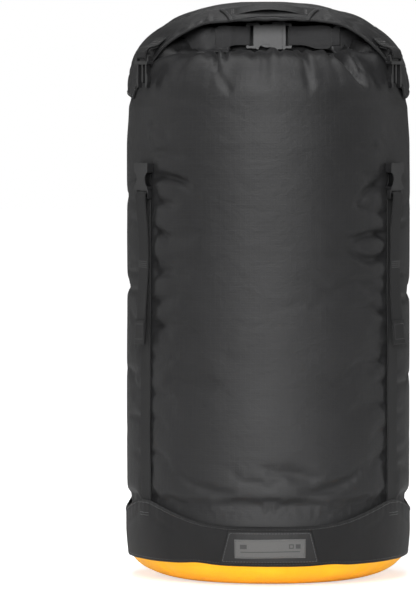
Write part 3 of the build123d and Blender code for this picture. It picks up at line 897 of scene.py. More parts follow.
# Folds across the front: (x, z) points, depth, width, height of the raised lip beside the fold,
# and whether that lip is on the left (-1) or right (1) of the way the points run.
CREASES = [
    ([(-53.5, 547), (-54, 538), (-52.5, 527), (-51, 520)], 4.6, 1.9, 1.8, -1),
    ([(-46.5, 547.5), (-46, 538), (-48.5, 528)], 4.2, 1.8, 1.6, 1),
    ([(-50, 521), (-44, 511), (-37, 500)], 1.3, 3.0, 0.5, 1),
    ([(65, 546), (75, 538), (86, 527), (95, 515), (101, 504)], 6.2, 3.1, 2.6, -1),
    ([(78, 547), (91, 542), (103, 537), (114, 531)], 4.6, 1.9, 2.6, 1),
    ([(84, 541), (91, 531), (95, 522)], 2.6, 1.9, 1.0, 1),
    ([(58, 548), (62, 541), (64, 534)], 2.2, 1.8, 0.8, 1),
    ([(-127, 517), (-114, 528), (-100, 537), (-87, 543)], 3.4, 1.8, 1.6, 1),
    ([(-95, 541), (-86, 545)], 2.4, 1.5, 0.8, 1),
    ([(-79, 546), (-69, 549)], 2.4, 1.5, 0.8, 1),
    ([(12, 549), (10, 541), (11, 531)], 1.5, 1.9, 0.6, 1),
    ([(-14, 549), (-17, 539), (-16, 528)], 1.3, 2.0, 0.5, -1),
    ([(33, 548.5), (36, 539), (39, 527)], 1.7, 2.0, 0.7, -1),
    ([(-122, 421), (-106, 421), (-93, 416), (-82, 409), (-73, 401)], 4.4, 4.4, 3.0, 1),
    ([(-120, 446), (-104, 443), (-86, 440), (-74, 439)], 2.0, 4.4, 1.5, 1),
    ([(-124, 474), (-110, 467), (-97, 455)], 1.8, 4.0, 1.0, 1),
    ([(-119, 398), (-106, 393), (-92, 391)], 1.8, 3.4, 1.1, 1),
    ([(-121, 366), (-110, 361), (-101, 352)], 1.4, 3.4, 0.8, 1),
    ([(-121, 318), (-107, 322), (-95, 320)], 1.5, 3.6, 0.9, 1),
    ([(-121, 270), (-109, 264), (-98, 252)], 1.3, 3.6, 0.8, 1),
    ([(119, 415), (106, 408), (94, 398), (84, 388)], 4.2, 4.8, 2.8, -1),
    ([(121, 398), (108, 391), (95, 391), (84, 395)], 3.0, 3.4, 1.8, -1),
    ([(122, 381), (108, 383), (94, 388), (84, 392)], 2.6, 3.0, 1.4, 1),
    ([(123, 357), (110, 361), (96, 359), (80, 351)], 4.0, 3.8, 2.4, -1),
    ([(123, 339), (110, 335), (97, 336), (85, 342), (72, 345)], 3.6, 3.6, 2.3, -1),
    ([(122, 322), (108, 325), (92, 331)], 1.8, 3.2, 1.0, -1),
    ([(123, 301), (109, 300), (95, 304)], 2.2, 3.6, 1.3, -1),
    ([(123, 279), (110, 283), (98, 290)], 2.0, 3.8, 1.2, -1),
    ([(122, 234), (110, 228), (99, 229)], 1.6, 3.8, 1.0, -1),
    ([(121, 180), (109, 187), (99, 186)], 1.3, 3.6, 0.8, -1),
    ([(112, 452), (98, 449), (80, 451)], 1.3, 4.4, 1.0, -1),
    ([(-97, 118), (-70, 105), (-34, 97)], 1.4, 4.6, 0.9, 1),
    ([(96, 120), (66, 104), (30, 97)], 1.6, 4.6, 1.0, -1),
]
CROWN_FROM = 500  # creases that start above this height are on the crown
CREASE_REACH = 26  # how far from a crease its effect is worked out


def nearest_on_line(points, normals, line, lengths):
    """Distance, signed sideways distance and distance along line of the nearest place on it."""
    best = np.full(len(points), 1e9)
    sideways, along = np.zeros(len(points)), np.zeros(len(points))
    for start, end, from_, to in zip(line[:-1], line[1:], lengths[:-1], lengths[1:]):
        edge = end - start
        share = np.clip((points - start) @ edge / (edge @ edge), 0, 1)
        offset = points - (start + share[:, None] * edge)
        distance = np.linalg.norm(offset, axis=1)
        nearer = distance < best
        best[nearer] = distance[nearer]
        signed = np.sum(offset * np.cross(edge, normals), 1) / (np.linalg.norm(edge) + 1e-9)
        sideways[nearer] = signed[nearer]
        along[nearer] = (from_ + share * (to - from_))[nearer]
    return best, sideways, along


def crease_relief(points, normals, scale, back=False):
    """Lift of the creases on the front, or of jittered copies of them on the back."""
    jitter = np.random.default_rng(4)
    lift = np.zeros(points.shape[:2])
    for plan, depth, width, lip, side in CREASES:
        plan = np.asarray(plan, float)
        on_crown = plan[0, 1] >= CROWN_FROM
        if back:
            plan = plan + jitter.uniform(-6, 6, 2) * [1, 0.2 if on_crown else 1]
            depth *= jitter.uniform(0.5, 1.0)
            lip *= jitter.uniform(0.5, 1.0)
            side = -side
        if on_crown:
            depth, lip, width = depth * 1.3, lip * 0.9, width * 1.25
        else:
            depth, lip, width = depth * 1.35, lip * 1.3, width * 1.3
        radius = np.interp(plan[:, 1], OUTER_HEIGHTS, OUTER_RADII)
        y = (1 if back else -1) * np.sqrt(np.maximum(radius**2 - plan[:, 0] ** 2, 0))
        knots = np.column_stack([plan[:, 0], y, plan[:, 1]])
        knot_lengths = arc_length(knots)
        total = knot_lengths[-1]
        lengths = np.linspace(0, total, max(6, int(total / 4)))
        line = curve_at(lengths, knot_lengths, knots)
        low, high = line.min(0) - CREASE_REACH, line.max(0) + CREASE_REACH
        near = np.all((points > low) & (points < high), axis=-1)
        if not near.any():
            continue
        best, sideways, along = nearest_on_line(points[near], normals[near], line, lengths)
        share = along / total
        if on_crown:
            taper = 1 - smooth(0.62, 1.03, share)
        else:
            taper = smooth(-0.02, 0.22, share) * (1 - smooth(0.6, 1.02, share))
        past_end = np.maximum(best - np.abs(sideways), 0)
        taper = taper * np.exp(-(past_end**2) / (2 * width**2))
        groove = -depth * bell(best, width=width)
        raised = lip * bell(sideways * side, 2.1 * width, width=1.7 * width)
        lift[near] += scale * (groove + raised) * taper
    return lift


def mouth_ratio(x, y):
    """1 on the centre line of the rolled mouth, less inside its loop."""
    power = MOUTH_POWER
    total = (np.abs(x) / MOUTH_HALF_X) ** power + (np.abs(y) / MOUTH_HALF_Y) ** power
    return total ** (1 / power)


def crown_lift(angle, radius, z):
    """Cloth that swells up inside the rolled mouth's loop and stands up beside it."""
    x, y, _ = np.moveaxis(xyz(radius, angle, z), -1, 0)
    ratio = mouth_ratio(x, y)
    away = turn(angle, 0)
    swell = 33.0 * (1 - smooth(0.62, 0.94, ratio)) + 3.0 * (1 - smooth(0.0, 0.5, ratio))
    crease = 1.6 * np.sin(x / 6.3 + 2.2 * np.sin(y / 15.0)) * bell(ratio, 0.62, width=0.22)
    crease = crease + 1.2 * value_noise(x / 17 + 20, y / 13 + 20, 31) * (ratio < 0.95)
    side = smooth(46.0, 62.0, np.abs(away)) * (1 - smooth(118.0, 134.0, np.abs(away)))
    ear = side * smooth(1.03, 1.11, ratio) * (1 + 0.22 * smooth(108, 124, radius))
    ear = ear * (1 - smooth(131.0, 143.0, radius))
    fold = 1 + 0.20 * np.sin(away / 3.6 + 1.6 * np.sin(radius / 9.0))
    fold = fold + 0.22 * value_noise(angle / 9 + 40, radius / 20, 32)
    front_and_back = (1 - side) * smooth(1.1, 1.3, ratio) * (1 - smooth(118.0, 139.0, radius))
    lift = swell + crease * (1 - smooth(0.85, 0.95, ratio))
    lift = lift + 15.5 * ear * (0.75 + 0.25 * fold) + 3.0 * front_and_back * fold
    return np.where(z > 505, lift, 0.0)


def limit_skin(angle, radius, z):
    """Keeps the cloth inside the skirt, the straps and the lid."""
    under_strap = near_straps(angle, width=7.5) * (1 - smooth(425, 450, z))
    limit = np.minimum(np.where(z < 88, 144.9, 148.0), 148.0 - 2.9 * np.clip(under_strap, 0, 1))
    behind_plug = near_straps(angle, width=9.0) * smooth(492, 504, z)
    limit = limit - 2.2 * np.clip(behind_plug, 0, 1)
    flap = (1 - smooth(0.80, 0.93, np.abs(np.cos(np.radians(angle))))) * smooth(488, 500, z)
    under_lid = smooth(448, 489, z)
    tight = np.minimum(limit, 143.3 + (1 - flap) * 2.5)
    limit = limit * (1 - under_lid) + tight * under_lid
    # eased into the limit, so a fold flattens against it instead of being cut
    knee = 1.0
    past = np.clip(radius - (limit - knee), 0, None)
    return np.where(past > 0, limit - knee + knee * (1 - np.exp(-past / knee)), radius)


def skin_grid(cols, rows, folds=1.0):
    """Angles, points and smooth-form heights of the body; folds scales the creases."""
    form, _ = profile_table(SKIN_POINTS, rows)
    angle = np.broadcast_to(ring_angles(cols), (rows, cols))
    radius, height = (column[:, None] + 0 * angle for column in form.T)
    out, up = (column[:, None] + 0 * angle for column in profile_normals(form).T)
    smooth_form = xyz(radius, angle, height)
    normals = xyz(out, angle, up)
    lift = skin_relief(angle, radius, height)
    lift = lift + crease_relief(smooth_form, normals, 1.3 * folds)
    lift = lift + crease_relief(smooth_form, normals, 1.3 * folds, back=True)
    z = height + up * lift + crown_lift(angle, radius, height)
    return angle, xyz(limit_skin(angle, radius + out * lift, height), angle, z), height


def settle_skin():
    """Movement of a coarser body under pressure, held at its foot, crown and straps."""
    angle, points, height = skin_grid(SKIN_SIM_COLS, SKIN_SIM_ROWS, folds=0.6)
    radius = np.hypot(points[..., 0], points[..., 1])
    ends = np.maximum(1 - smooth(70, 92, height), 1 - smooth(96, 112, radius))
    lines = near_straps(angle, width=3.2) * (1 - smooth(430, 460, height))
    hold = np.clip(np.maximum(ends, 0.92 * np.clip(lines, 0, 1)), 0, 1)
    return settle(
        "skin_tmp", points, hold, pressure=3.0, frames=20, cap=4.0, shrink=-0.022, bending=0.6
    )


def make_skin():
    angle, points, height = skin_grid(SKIN_COLS, SKIN_ROWS)
    # only the settled movement is added, so fine folds keep their depth
    points = points + upsample(settle_skin(), SKIN_ROWS, SKIN_COLS)
    radius = np.hypot(points[..., 0], points[..., 1])
    limited = limit_skin(angle, radius, height) / np.maximum(radius, 1e-6)
    points[..., :2] *= limited[..., None]
    around = np.linspace(0, TAU * SKIN_UV_RADIUS, SKIN_COLS + 1)
    uv = np.stack(np.meshgrid(around, SKIN_LENGTHS), -1)
    skin = sheet("sack_body_fabric", points, uv, WALL_CLOTH, closed=True, inside=(0, 0, 300))
    register(skin, "ripstop", "sack_wall_lower", "sack_wall_middle", "sack_wall_upper")
    blend_heights(skin, "base", "sack_top", low=84, high=494, soft=0.12)


make_skin()

# ---------------------------------------------------------------- base
BASE_RADIUS, BASE_FLAT_RADIUS, BASE_CORNER_HEIGHT = 146.0, 84.0, 36
BASE_ROWS, BASE_COLS = 74, 240


def base_profile():
    """(radius, height) from the axis out under the flat bottom and up its round corner."""
    quarter = np.radians(np.linspace(0, 90, 40))
    corner = np.column_stack([
        BASE_FLAT_RADIUS + (BASE_RADIUS - BASE_FLAT_RADIUS) * np.sin(quarter),
        BASE_CORNER_HEIGHT - BASE_CORNER_HEIGHT * np.cos(quarter),
    ])
    points = np.vstack([[(0.5, 0.15), (30, 0.05), (60, 0.0)], corner, [(145.9, 37.6)]])
    return even_line(points, BASE_ROWS)


def make_base():
    profile, lengths = base_profile()
    angle = np.broadcast_to(ring_angles(BASE_COLS), (BASE_ROWS, BASE_COLS))
    radius, z = (column[:, None] + 0 * angle for column in profile.T)
    out, up = profile_normals(profile).T[:, :, None]
    around = (angle + 180) / 360
    side = smooth(3, 14, z) * (1 - smooth(24, 34, z))
    lift = side * (
        0.9 * value_noise(around * 13, z / 30, 31, 13)
        + 0.45 * value_noise(around * 34, z / 14, 32, 34)
    )
    # short leaning creases round the corner
    rng = np.random.default_rng(17)
    for _ in range(15):
        centre = rng.uniform(-180, 180)
        depth = rng.uniform(0.5, 1.5)
        away = turn(angle, centre + (z - 16) * rng.uniform(-0.3, 0.3))
        lift = lift - side * depth * bell(away, width=rng.uniform(1.2, 2.6))
    uneven = 0.28 * (1 + value_noise(around * 11, radius / 22, 33, 11))
    bottom = (1 - smooth(0.5, 6, z)) * smooth(20, 70, radius) * uneven * (radius < 100)
    radius, z = radius + out * lift, np.maximum(z + up * lift + bottom, 0.0)
    points = xyz(np.minimum(radius, 146.05), angle, z)
    uv = np.stack(np.meshgrid(np.linspace(0, TAU * 132, BASE_COLS + 1), lengths), -1)
    cup = sheet("base_cup_fabric", points, uv, BASE_CLOTH, closed=True, inside=(0, 0, 60))
    register(cup, "coated_base", "base_fabric", ride="base", thickness=0.9)


make_base()

# ---------------------------------------------------------------- skirt
SKIRT_ROWS, SKIRT_COLS, SKIRT_TAPE_STEPS = 30, 360, 480
SKIRT_PEAK = 86.0  # height of the edge at its peaks
SKIRT_TAPE_DROP, SKIRT_TAPE_INSET = 0.9, 0.75
# Folded tape round the edge: (up, out).
SKIRT_TAPE_SECTION = [
    (1.25, -0.45), (1.25, 0.35), (0.9, 0.85), (0.2, 1.02), (-1.4, 1.0), (-2.35, 0.92),
    (-2.6, 0.62), (-2.4, -0.5), (-1.4, -0.75), (0.6, -0.75),
]


def scallop(angle):
    """Height of the edge: dips at the front, back and both sides between four peaks."""
    x, y, _ = xyz(148.0, angle, 0.0).T
    dip = spline((-124, -80, 0, 80, 124), (SKIRT_PEAK, 69.5, 64, 69.5, SKIRT_PEAK), x)
    front_and_back = np.where(np.abs(x) < 124, dip, SKIRT_PEAK)
    side_dip = spline((-64, 0, 64), (SKIRT_PEAK, 72, SKIRT_PEAK), y)
    return np.minimum(front_and_back, np.where(np.abs(y) < 64, side_dip, SKIRT_PEAK))


SKIRT_ANGLES = ring_angles(SKIRT_COLS)
SKIRT_TOP = soften(scallop(SKIRT_ANGLES))


def skirt_edge(angle):
    return np.interp(turn(angle, 0), SKIRT_ANGLES, SKIRT_TOP)


def skirt_radius(z):
    return spline((22, 34, 46, 66, 88), (146.3, 147.8, 148.85, 148.9, 148.7), z)


def skirt_low(angle):
    """Height of the slightly uneven lower edge."""
    around = (angle + 180) / 360
    low = 24.0 + 1.1 * value_noise(around * 12, 0.3, 41, 12)
    low = low + 0.5 * value_noise(around * 31, 0.7, 42, 31)
    away = turn(angle, 0)
    return low + bell(away, 26, width=7) * 1.8 + bell(away, -31, width=6) * 1.4


def skirt_relief(angle, z):
    around = (angle + 180) / 360
    turned = np.radians(angle)
    near_top = bell(skirt_edge(angle) - z, width=11)
    lift = 0.32 * near_top * np.sin(turned * 92 + 2.5 * np.sin(turned * 7))
    lift = lift + 0.55 * value_noise(around * 17, z / 33.0, 43, 17) * smooth(26, 40, z)
    upper = smooth(44, 76, z)
    for strap in STRAPS:
        away = turn(angle, strap)
        lift = lift + 0.25 * bell(away, width=4) * upper
        for side in (-1, 1):
            lift = lift - 0.5 * bell(away, 6.5 * side, width=2.2) * upper
            fold = smooth(6, 9, away * side) * (1 - smooth(14, 26, away * side))
            lift = lift - 0.8 * fold * bell(z, 74 - np.abs(away) * 0.9, width=3.0)
    return 0.75 * np.clip(lift, -0.9, 0.6)


def skirt_at(angle, z, lift=0.0):
    """Points lifted off the outside of the skirt."""
    return xyz(skirt_radius(z) + skirt_relief(angle, z) - 0.15 + lift, angle, z)


def make_skirt():
    share = np.linspace(0, 1, SKIRT_ROWS)[:, None]
    low, high = skirt_low(SKIRT_ANGLES), skirt_edge(SKIRT_ANGLES)
    z = low + (high - low) * share
    points = skirt_at(np.broadcast_to(SKIRT_ANGLES, z.shape), z)
    height = close_columns(z)
    around = np.broadcast_to(np.linspace(0, TAU * 148.5, SKIRT_COLS + 1), height.shape)
    uv = np.stack([around, height], -1)
    panel = sheet("skirt_panel", points, uv, SKIRT_KNIT, closed=True, inside=(0, 0, 50))
    register(panel, "skirt_fabric", "base_skirt", ride="base", thickness=1.1)

    angle = ring_angles(SKIRT_TAPE_STEPS)
    top = skirt_edge(angle)
    inset = skirt_relief(angle, top) - SKIRT_TAPE_INSET
    mid = xyz(skirt_radius(top) + inset, angle, top - SKIRT_TAPE_DROP)
    tangent = unit(np.roll(mid, -1, 0) - np.roll(mid, 1, 0))
    out = radial(mid)
    up = unit(np.cross(out, tangent))
    up *= np.sign(up[:, 2:3])
    tape = sweep("skirt_edge_tape", mid, up, out, SKIRT_TAPE_SECTION, EDGE_TAPE, closed=True)
    register(tape, "binding", "skirt_binding", ride="base")

    z = top - SKIRT_TAPE_DROP - 1.75
    on_tape = xyz(skirt_radius(z) + inset + 0.98, angle, z)
    on_hem = skirt_at(angle, skirt_low(angle) + 2.6, 0.05)
    runs = [
        thread(path, out, pitch=3.2, length=2.3, radius=radius, closed=True)
        for path, radius in ((on_tape, 0.28), (on_hem, 0.26))
    ]
    stitching("skirt_stitches", runs, "base")


make_skirt()

# ---------------------------------------------------------------- label on its patch
PATCH_RADIUS, LABEL_RADIUS = 148.5, 149.5  # radii that turn x into an angle
LABEL_Z = 41.8
PATCH_SEAM = [(-48.6, 28.2), (48.6, 28.2), (40.8, 57.4), (-40.8, 57.4)]  # (x, z)
LABEL_SEAM = [(-34.6, -8.0), (35.2, -8.0), (35.2, 8.0), (-34.6, 8.0)]  # (x, z from LABEL_Z)


def patch_at(x, z, lift):
    return skirt_at(np.degrees(np.arcsin(x / PATCH_RADIUS)), z, lift)


def label_at(x, z, lift):
    """The label waves a little up and down along its length."""
    height = LABEL_Z + z + 0.25 * np.sin(x / 15.0)
    return skirt_at(np.degrees(np.arcsin(x / LABEL_RADIUS)), height, lift)


def make_label():
    rows, cols = 18, 60
    z = np.broadcast_to(np.linspace(26.2, 59.4, rows)[:, None], (rows, cols))
    half = 52 - (z - 25.5) / 34.5 * 9
    x = np.linspace(-1, 1, cols) * half
    lift = np.where(rim_steps(rows, cols) == 0, 0.62 - 0.38, 0.62)
    patch = sheet(
        "label_backing", patch_at(x, z, lift), np.stack([x, z], -1), PATCH, inside=(0, 0, 42)
    )
    register(patch, "patch", "label_patch", ride="base", thickness=0.5)

    rows, cols = 14, 50
    x, z = np.meshgrid(np.linspace(-36.2, 36.8, cols), np.linspace(-9.6, 9.6, rows))
    rim = rim_steps(rows, cols)
    lift = 1.05 - np.where(rim == 0, 0.3, np.where(rim == 1, 0.08, 0.0))
    label = sheet(
        "size_label_weave", label_at(x, z, lift), np.stack([x, z], -1), LABEL_WEAVE,
        inside=(0, 0, 42),
    )
    register(label, "label", "size_label", ride="base", thickness=0.35)

    runs = []
    for line in outline(PATCH_SEAM, 40):
        path = patch_at(*line.T, 0.66)
        runs.append(thread(path, radial(path), pitch=3.0, length=2.2, radius=0.26))
    for line in outline(LABEL_SEAM, 40):
        path = label_at(*line.T, 1.07)
        runs.append(thread(path, radial(path), pitch=2.6, length=1.9, radius=0.2))
    stitching("label_stitches", runs, "base", GREY_THREAD)


make_label()

# ---------------------------------------------------------------- straps, tails and plug loops
BUCKLE_RADIUS, PLUG_Z, SOCKET_Z = 149.5, 535.0, 434.0
STRAP_WIDTH, STRAP_THICKNESS = 20.0, 1.3
STRAP_FOOT_Z, STRAP_TOP = 62.5, -31.4  # the top is measured from SOCKET_Z
TAIL_FOLD_FROM, TAIL_TACK_AT = -160, -104
# Plug loop, from the lid round the plug's bar and back: (outward, up) from the plug.
LOOP_LINE = [
    (-21.2, 27.6), (-16.4, 23.6), (-12.0, 20.4), (-6.5, 18.6), (-1.5, 17.2), (0.9, 15.0),
    (2.1, 12.2), (2.45, 9.6), (2.35, 7.8), (1.5, 6.75), (0, 6.4), (-1.5, 6.75),
    (-2.35, 7.8), (-2.45, 9.6), (-2.0, 12.0), (-1.6, 13.8), (-3.6, 15.6), (-8.0, 17.0),
    (-12.6, 18.2),
]


def tail_line(curl):
    """The free tail over the adjuster's bar and down: (outward, up) from the socket."""
    return [
        (-3.15, -31.3), (-3.1, -30.4), (-2.3, -29.9), (-0.8, -29.75), (0.8, -29.75),
        (2.3, -29.95), (3.25, -30.8), (3.5, -33.0), (3.3, -39), (2.5, -49), (1.2, -62),
        (0.2, -78), (-0.1, -98), (0.0 + curl * 0.3, -118), (0.9 + curl * 0.4, -136),
        (2.0 + curl * 0.3, -152), (3.0, -168), (3.9, -186.0),
    ]


def buckle_out(angle):
    return xyz(1.0, angle, 0.0)


def ribbon(name, line, angle, height, width, thickness, sway=0.0, twist=0.0):
    """Webbing along (outward, up) points at a buckle's angle.

    Sway shifts it sideways and twist turns it, in radians. Returns the piece, its
    middle line and the side and out directions there.
    """
    sideways = buckle_out(angle + 90)
    mid = BUCKLE_RADIUS * buckle_out(angle) + UP * height
    mid = mid + line[:, :1] * buckle_out(angle) + line[:, 1:2] * UP
    mid = mid + np.asarray(sway)[..., None] * sideways
    tangent = unit(np.gradient(mid, axis=0))
    side = unit(sideways - tangent * (tangent @ sideways)[:, None])
    out = np.cross(tangent, side)
    cos, sin = np.cos(twist)[..., None], np.sin(twist)[..., None]
    side, out = side * cos + out * sin, out * cos - side * sin
    piece = sweep(name, mid, side, out, web_section(width, thickness), STRAP_WEB)
    return piece, mid, side, out


def make_standing_strap(key, angle, rng, phase):
    """From under the skirt up to the adjuster."""
    up = np.linspace(STRAP_FOOT_Z - SOCKET_Z, STRAP_TOP, 86)
    z = up + SOCKET_Z
    ripple = 0.22 * np.sin(z / 17.0 + phase[0]) + 0.16 * np.sin(z / 41.0 + phase[1])
    out = -3.2 + ripple * smooth(92, 115, z) * (1 - smooth(380, 398, z))
    out = np.maximum(out, -3.35)
    sway = 1.1 * np.sin((z - 62) / 340 * math.pi) * rng.uniform(-1, 1)
    sway = sway + 0.3 * np.sin(z / 55.0 + phase[2])
    sway = sway * smooth(62, 100, z) * (1 - smooth(370, 402, z))
    strap, *_ = ribbon(
        f"{key}_strap_web", np.stack([out, up], -1), angle, SOCKET_Z, STRAP_WIDTH,
        STRAP_THICKNESS, sway,
    )
    register(strap, "webbing", f"{key}_strap")
    blend_heights(strap, "base", f"{key}_adjuster", low=92, high=402, soft=0.05)


def make_tail(key, angle, rng, phase):
    """The free end, with a thicker, slightly wider folded pad sewn at its tip."""
    line = even_curve(tail_line(curl=rng.uniform(-0.5, 0.9)), step=2.2)
    up = line[:, 1]
    sway = 1.6 * rng.uniform(-1, 1) * smooth(-60, -190, up)
    sway = sway + 0.5 * np.sin(up / 21.0 + phase[0]) * smooth(-50, -90, up)
    twist = math.radians(rng.uniform(-7, 7)) * smooth(-70, -185, up)
    tail, mid, side, out = ribbon(
        "tail_tmp", line, angle, SOCKET_Z, STRAP_WIDTH, STRAP_THICKNESS, sway, twist
    )
    tip = np.nonzero(up < TAIL_FOLD_FROM)[0]
    first, last = tip[0], tip[-1]
    out = out * (1.0 if out[first] @ buckle_out(angle) > 0 else -1.0)
    fold_mid = np.vstack([
        mid[first] + out[first] * 0.7, mid[tip] + out[tip] * 1.25,
        mid[last] + out[last] * 0.9 - UP * 1.1,
    ])
    ends = np.concatenate([[first], tip, [last]])
    widths = np.linspace(1.0, 1.1, len(fold_mid))
    widths[0] = 0.97
    section = web_section(20.2, 1.5)
    fold = sweep("fold_tmp", fold_mid, side[ends], out[ends], section, STRAP_WEB, widths=widths)
    tail = join([tail, fold], f"{key}_tail_web", STRAP_WEB)
    register(tail, "webbing", f"{key}_tail", ride=f"{key}_adjuster")

    def across(i, lift, half, shift=0.0):
        centre = mid[i] + out[i] * lift + UP * shift
        return np.stack([centre - side[i] * half, centre, centre + side[i] * half])

    # a box of stitches on the folded end, and a bar-tack higher up
    box = dict(pitch=2.4, length=1.9, radius=0.26)
    runs = [thread(across(i, lift=2.0, half=8.4), out[i], **box) for i in (tip[2], tip[-3])]
    inner = tip[2:-2]
    for edge in (-8.4, 8.4):
        path = mid[inner] + out[inner] * 2.0 + side[inner] * edge
        runs.append(thread(path, out[inner], **box))
    tack = int(np.argmin(np.abs(up - TAIL_TACK_AT)))
    for shift in (-3.0, -1.0, 1.0, 3.0):
        path = across(tack, lift=0.66, half=8.8, shift=shift)
        runs.append(thread(path, out[tack], pitch=1.5, length=1.45, radius=0.3))
    stitching(f"{key}_tail_stitches", runs, f"{key}_adjuster")


def make_foot_tack(key, angle):
    """Stitches that hold the strap's foot at the skirt's peak."""
    runs = []
    for height in (70.5, 73.0):
        around = angle + np.degrees(np.linspace(-9.2, 9.2, 12) / 149.0)
        path = skirt_at(around, np.full(12, height), 0.02)
        runs.append(thread(path, radial(path), pitch=1.7, length=1.6, radius=0.3))
    stitching(f"{key}_foot_tack", runs, "base")


def make_strap(key, angle, seed):
    rng = np.random.default_rng(seed)
    phase = rng.uniform(0, TAU, 3)
    make_standing_strap(key, angle, rng, phase)
    make_tail(key, angle, rng, phase)
    make_foot_tack(key, angle)


def make_lid_loops():
    loops, runs = [], []
    line = even_curve(LOOP_LINE, step=1.1)
    for i, angle in enumerate(BUCKLES.values()):
        loop, mid, side, out = ribbon(
            f"loop_tmp{i}", line, angle, PLUG_Z, width=19.6, thickness=1.15
        )
        loops.append(loop)
        for height in (23.6, 21.4):
            j = int(np.argmin(np.abs(line[: len(line) // 3, 1] - height)))
            outer = out[j] * (1.0 if out[j] @ (buckle_out(angle) + 0.8 * UP) > 0 else -1.0)
            centre = mid[j] + outer * 0.6
            path = np.stack([centre - side[j] * 8.6, centre, centre + side[j] * 8.6])
            runs.append(thread(path, outer, pitch=1.6, length=1.5, radius=0.28))
    joined = join(loops, "lid_plug_loops", STRAP_WEB)
    register(joined, "webbing", "lid_buckle_loops", ride="lid")
    stitching("lid_loop_tacks", runs, "lid")


for i, (key, angle) in enumerate(BUCKLES.items()):
    make_strap(key, angle, seed=100 + i)
make_lid_loops()

# ---------------------------------------------------------------- lid
LID_RADIUS, LID_HEIGHT, LID_Z, LID_POWER, LID_SKIRT_Z = 146.2, 94.0, 506.0, 2.4, 478.0
LID_TOP_LIMIT = 600.6
LID_ROWS, LID_COLS, LID_TAPE_STEPS = 46, 400, 560
SEAM_HALF_X, SEAM_HALF_Y = 112.0, 54.0  # the seam between top and band is an ellipse in plan
# Arched cut of the lid's front and back: distance from the middle, height of the edge.
ARCH_X = (0, 25, 50.5, 74, 86.6, 101, 112, 119.5, 129, 137, 141.5, 143.5)
ARCH_Z = (581, 580.7, 579.6, 575.5, 569.5, 560, 550, 541, 528, 513, 498, 480)
# Tape folded round the edge: (inward from the edge, out).
LID_TAPE_SECTION = [
    (-1.25, -0.5), (-1.35, 0.0), (-1.2, 0.5), (-0.7, 0.9), (0.2, 1.02), (1.6, 1.0),
    (2.5, 0.92), (2.75, 0.66), (2.7, -0.5), (1.6, -0.95), (0.2, -0.95), (-0.8, -0.9),
]
# Soft folds beside each plug: degrees from it, depth, width.
LID_FOLDS = ((-7.5, 0.9, 2.2), (6.5, 1.0, 2.0), (14.0, 0.6, 2.6), (-15, 0.55, 2.8))


def dome_profile():
    """Lengths, radii and heights of the superellipse dome and its short straight side."""
    quarter = np.linspace(0, math.pi / 2, 900)
    radius = np.append(LID_RADIUS * np.sin(quarter) ** (2 / LID_POWER), LID_RADIUS)
    height = np.append(LID_Z + LID_HEIGHT * np.cos(quarter) ** (2 / LID_POWER), LID_SKIRT_Z)
    points, length = even_line(np.column_stack([radius, height]), 2400)
    radius, height = points.T
    # a running average over 41 points rounds the join; both ends are extended for it
    kernel = np.ones(41) / 41
    beyond = np.arange(1, 21)
    radius = np.concatenate([-radius[1:21][::-1], radius, np.full(20, LID_RADIUS)])
    below = height[-1] - beyond * (length[1] - length[0])
    height = np.concatenate([height[1:21][::-1], height, below])
    return length, np.convolve(radius, kernel, "valid"), np.convolve(height, kernel, "valid")


DOME_LENGTH, DOME_RADIUS, DOME_HEIGHT = dome_profile()
DOME_NORMALS = unit(np.column_stack([
    -np.gradient(DOME_HEIGHT, DOME_LENGTH), np.gradient(DOME_RADIUS, DOME_LENGTH)
]))


def dome_normal(length, angle):
    out, up = (np.interp(length, DOME_LENGTH, column) for column in DOME_NORMALS.T)
    return xyz(out, angle, up)


def dome(length, angle, lift=0.0):
    """Points at a distance down the dome from its top, lifted off it."""
    radius = np.interp(length, DOME_LENGTH, DOME_RADIUS)
    z = np.interp(length, DOME_LENGTH, DOME_HEIGHT)
    return xyz(radius, angle, z) + dome_normal(length, angle) * np.asarray(lift)[..., None]


def dome_length(radius):
    return np.interp(radius, DOME_RADIUS, DOME_LENGTH)


def lid_floor(x, y):
    """Height below which the lid is cut away, at plan position (x, y)."""
    x, y = np.abs(x), np.abs(y)
    low = np.where(y < 40, 505 - 7 * (y / 40) ** 2, 498.0)
    return np.maximum(spline(ARCH_X, ARCH_Z, np.minimum(x, ARCH_X[-1])), low)


def lid_edge(angle):
    """Distance down the dome at which it meets the cut."""
    x, y, _ = xyz(DOME_RADIUS, angle, 0.0).T
    over = DOME_HEIGHT - lid_floor(x, y)
    i = int(np.argmax(over < 0))
    share = over[i - 1] / (over[i - 1] - over[i])
    return DOME_LENGTH[i - 1] + share * (DOME_LENGTH[i] - DOME_LENGTH[i - 1])


LID_ANGLES = ring_angles(LID_COLS)
LID_EDGE = soften(np.array([lid_edge(angle) for angle in LID_ANGLES]))
LID_SEAM = dome_length(1 / np.sqrt(
    (np.sin(np.radians(LID_ANGLES)) / SEAM_HALF_X) ** 2
    + (np.cos(np.radians(LID_ANGLES)) / SEAM_HALF_Y) ** 2
))


def round_lid(angle, values):
    """Values given at LID_ANGLES, read at other angles from -180 to 180."""
    return np.interp(angle, np.append(LID_ANGLES, 180.0), np.append(values, values[0]))


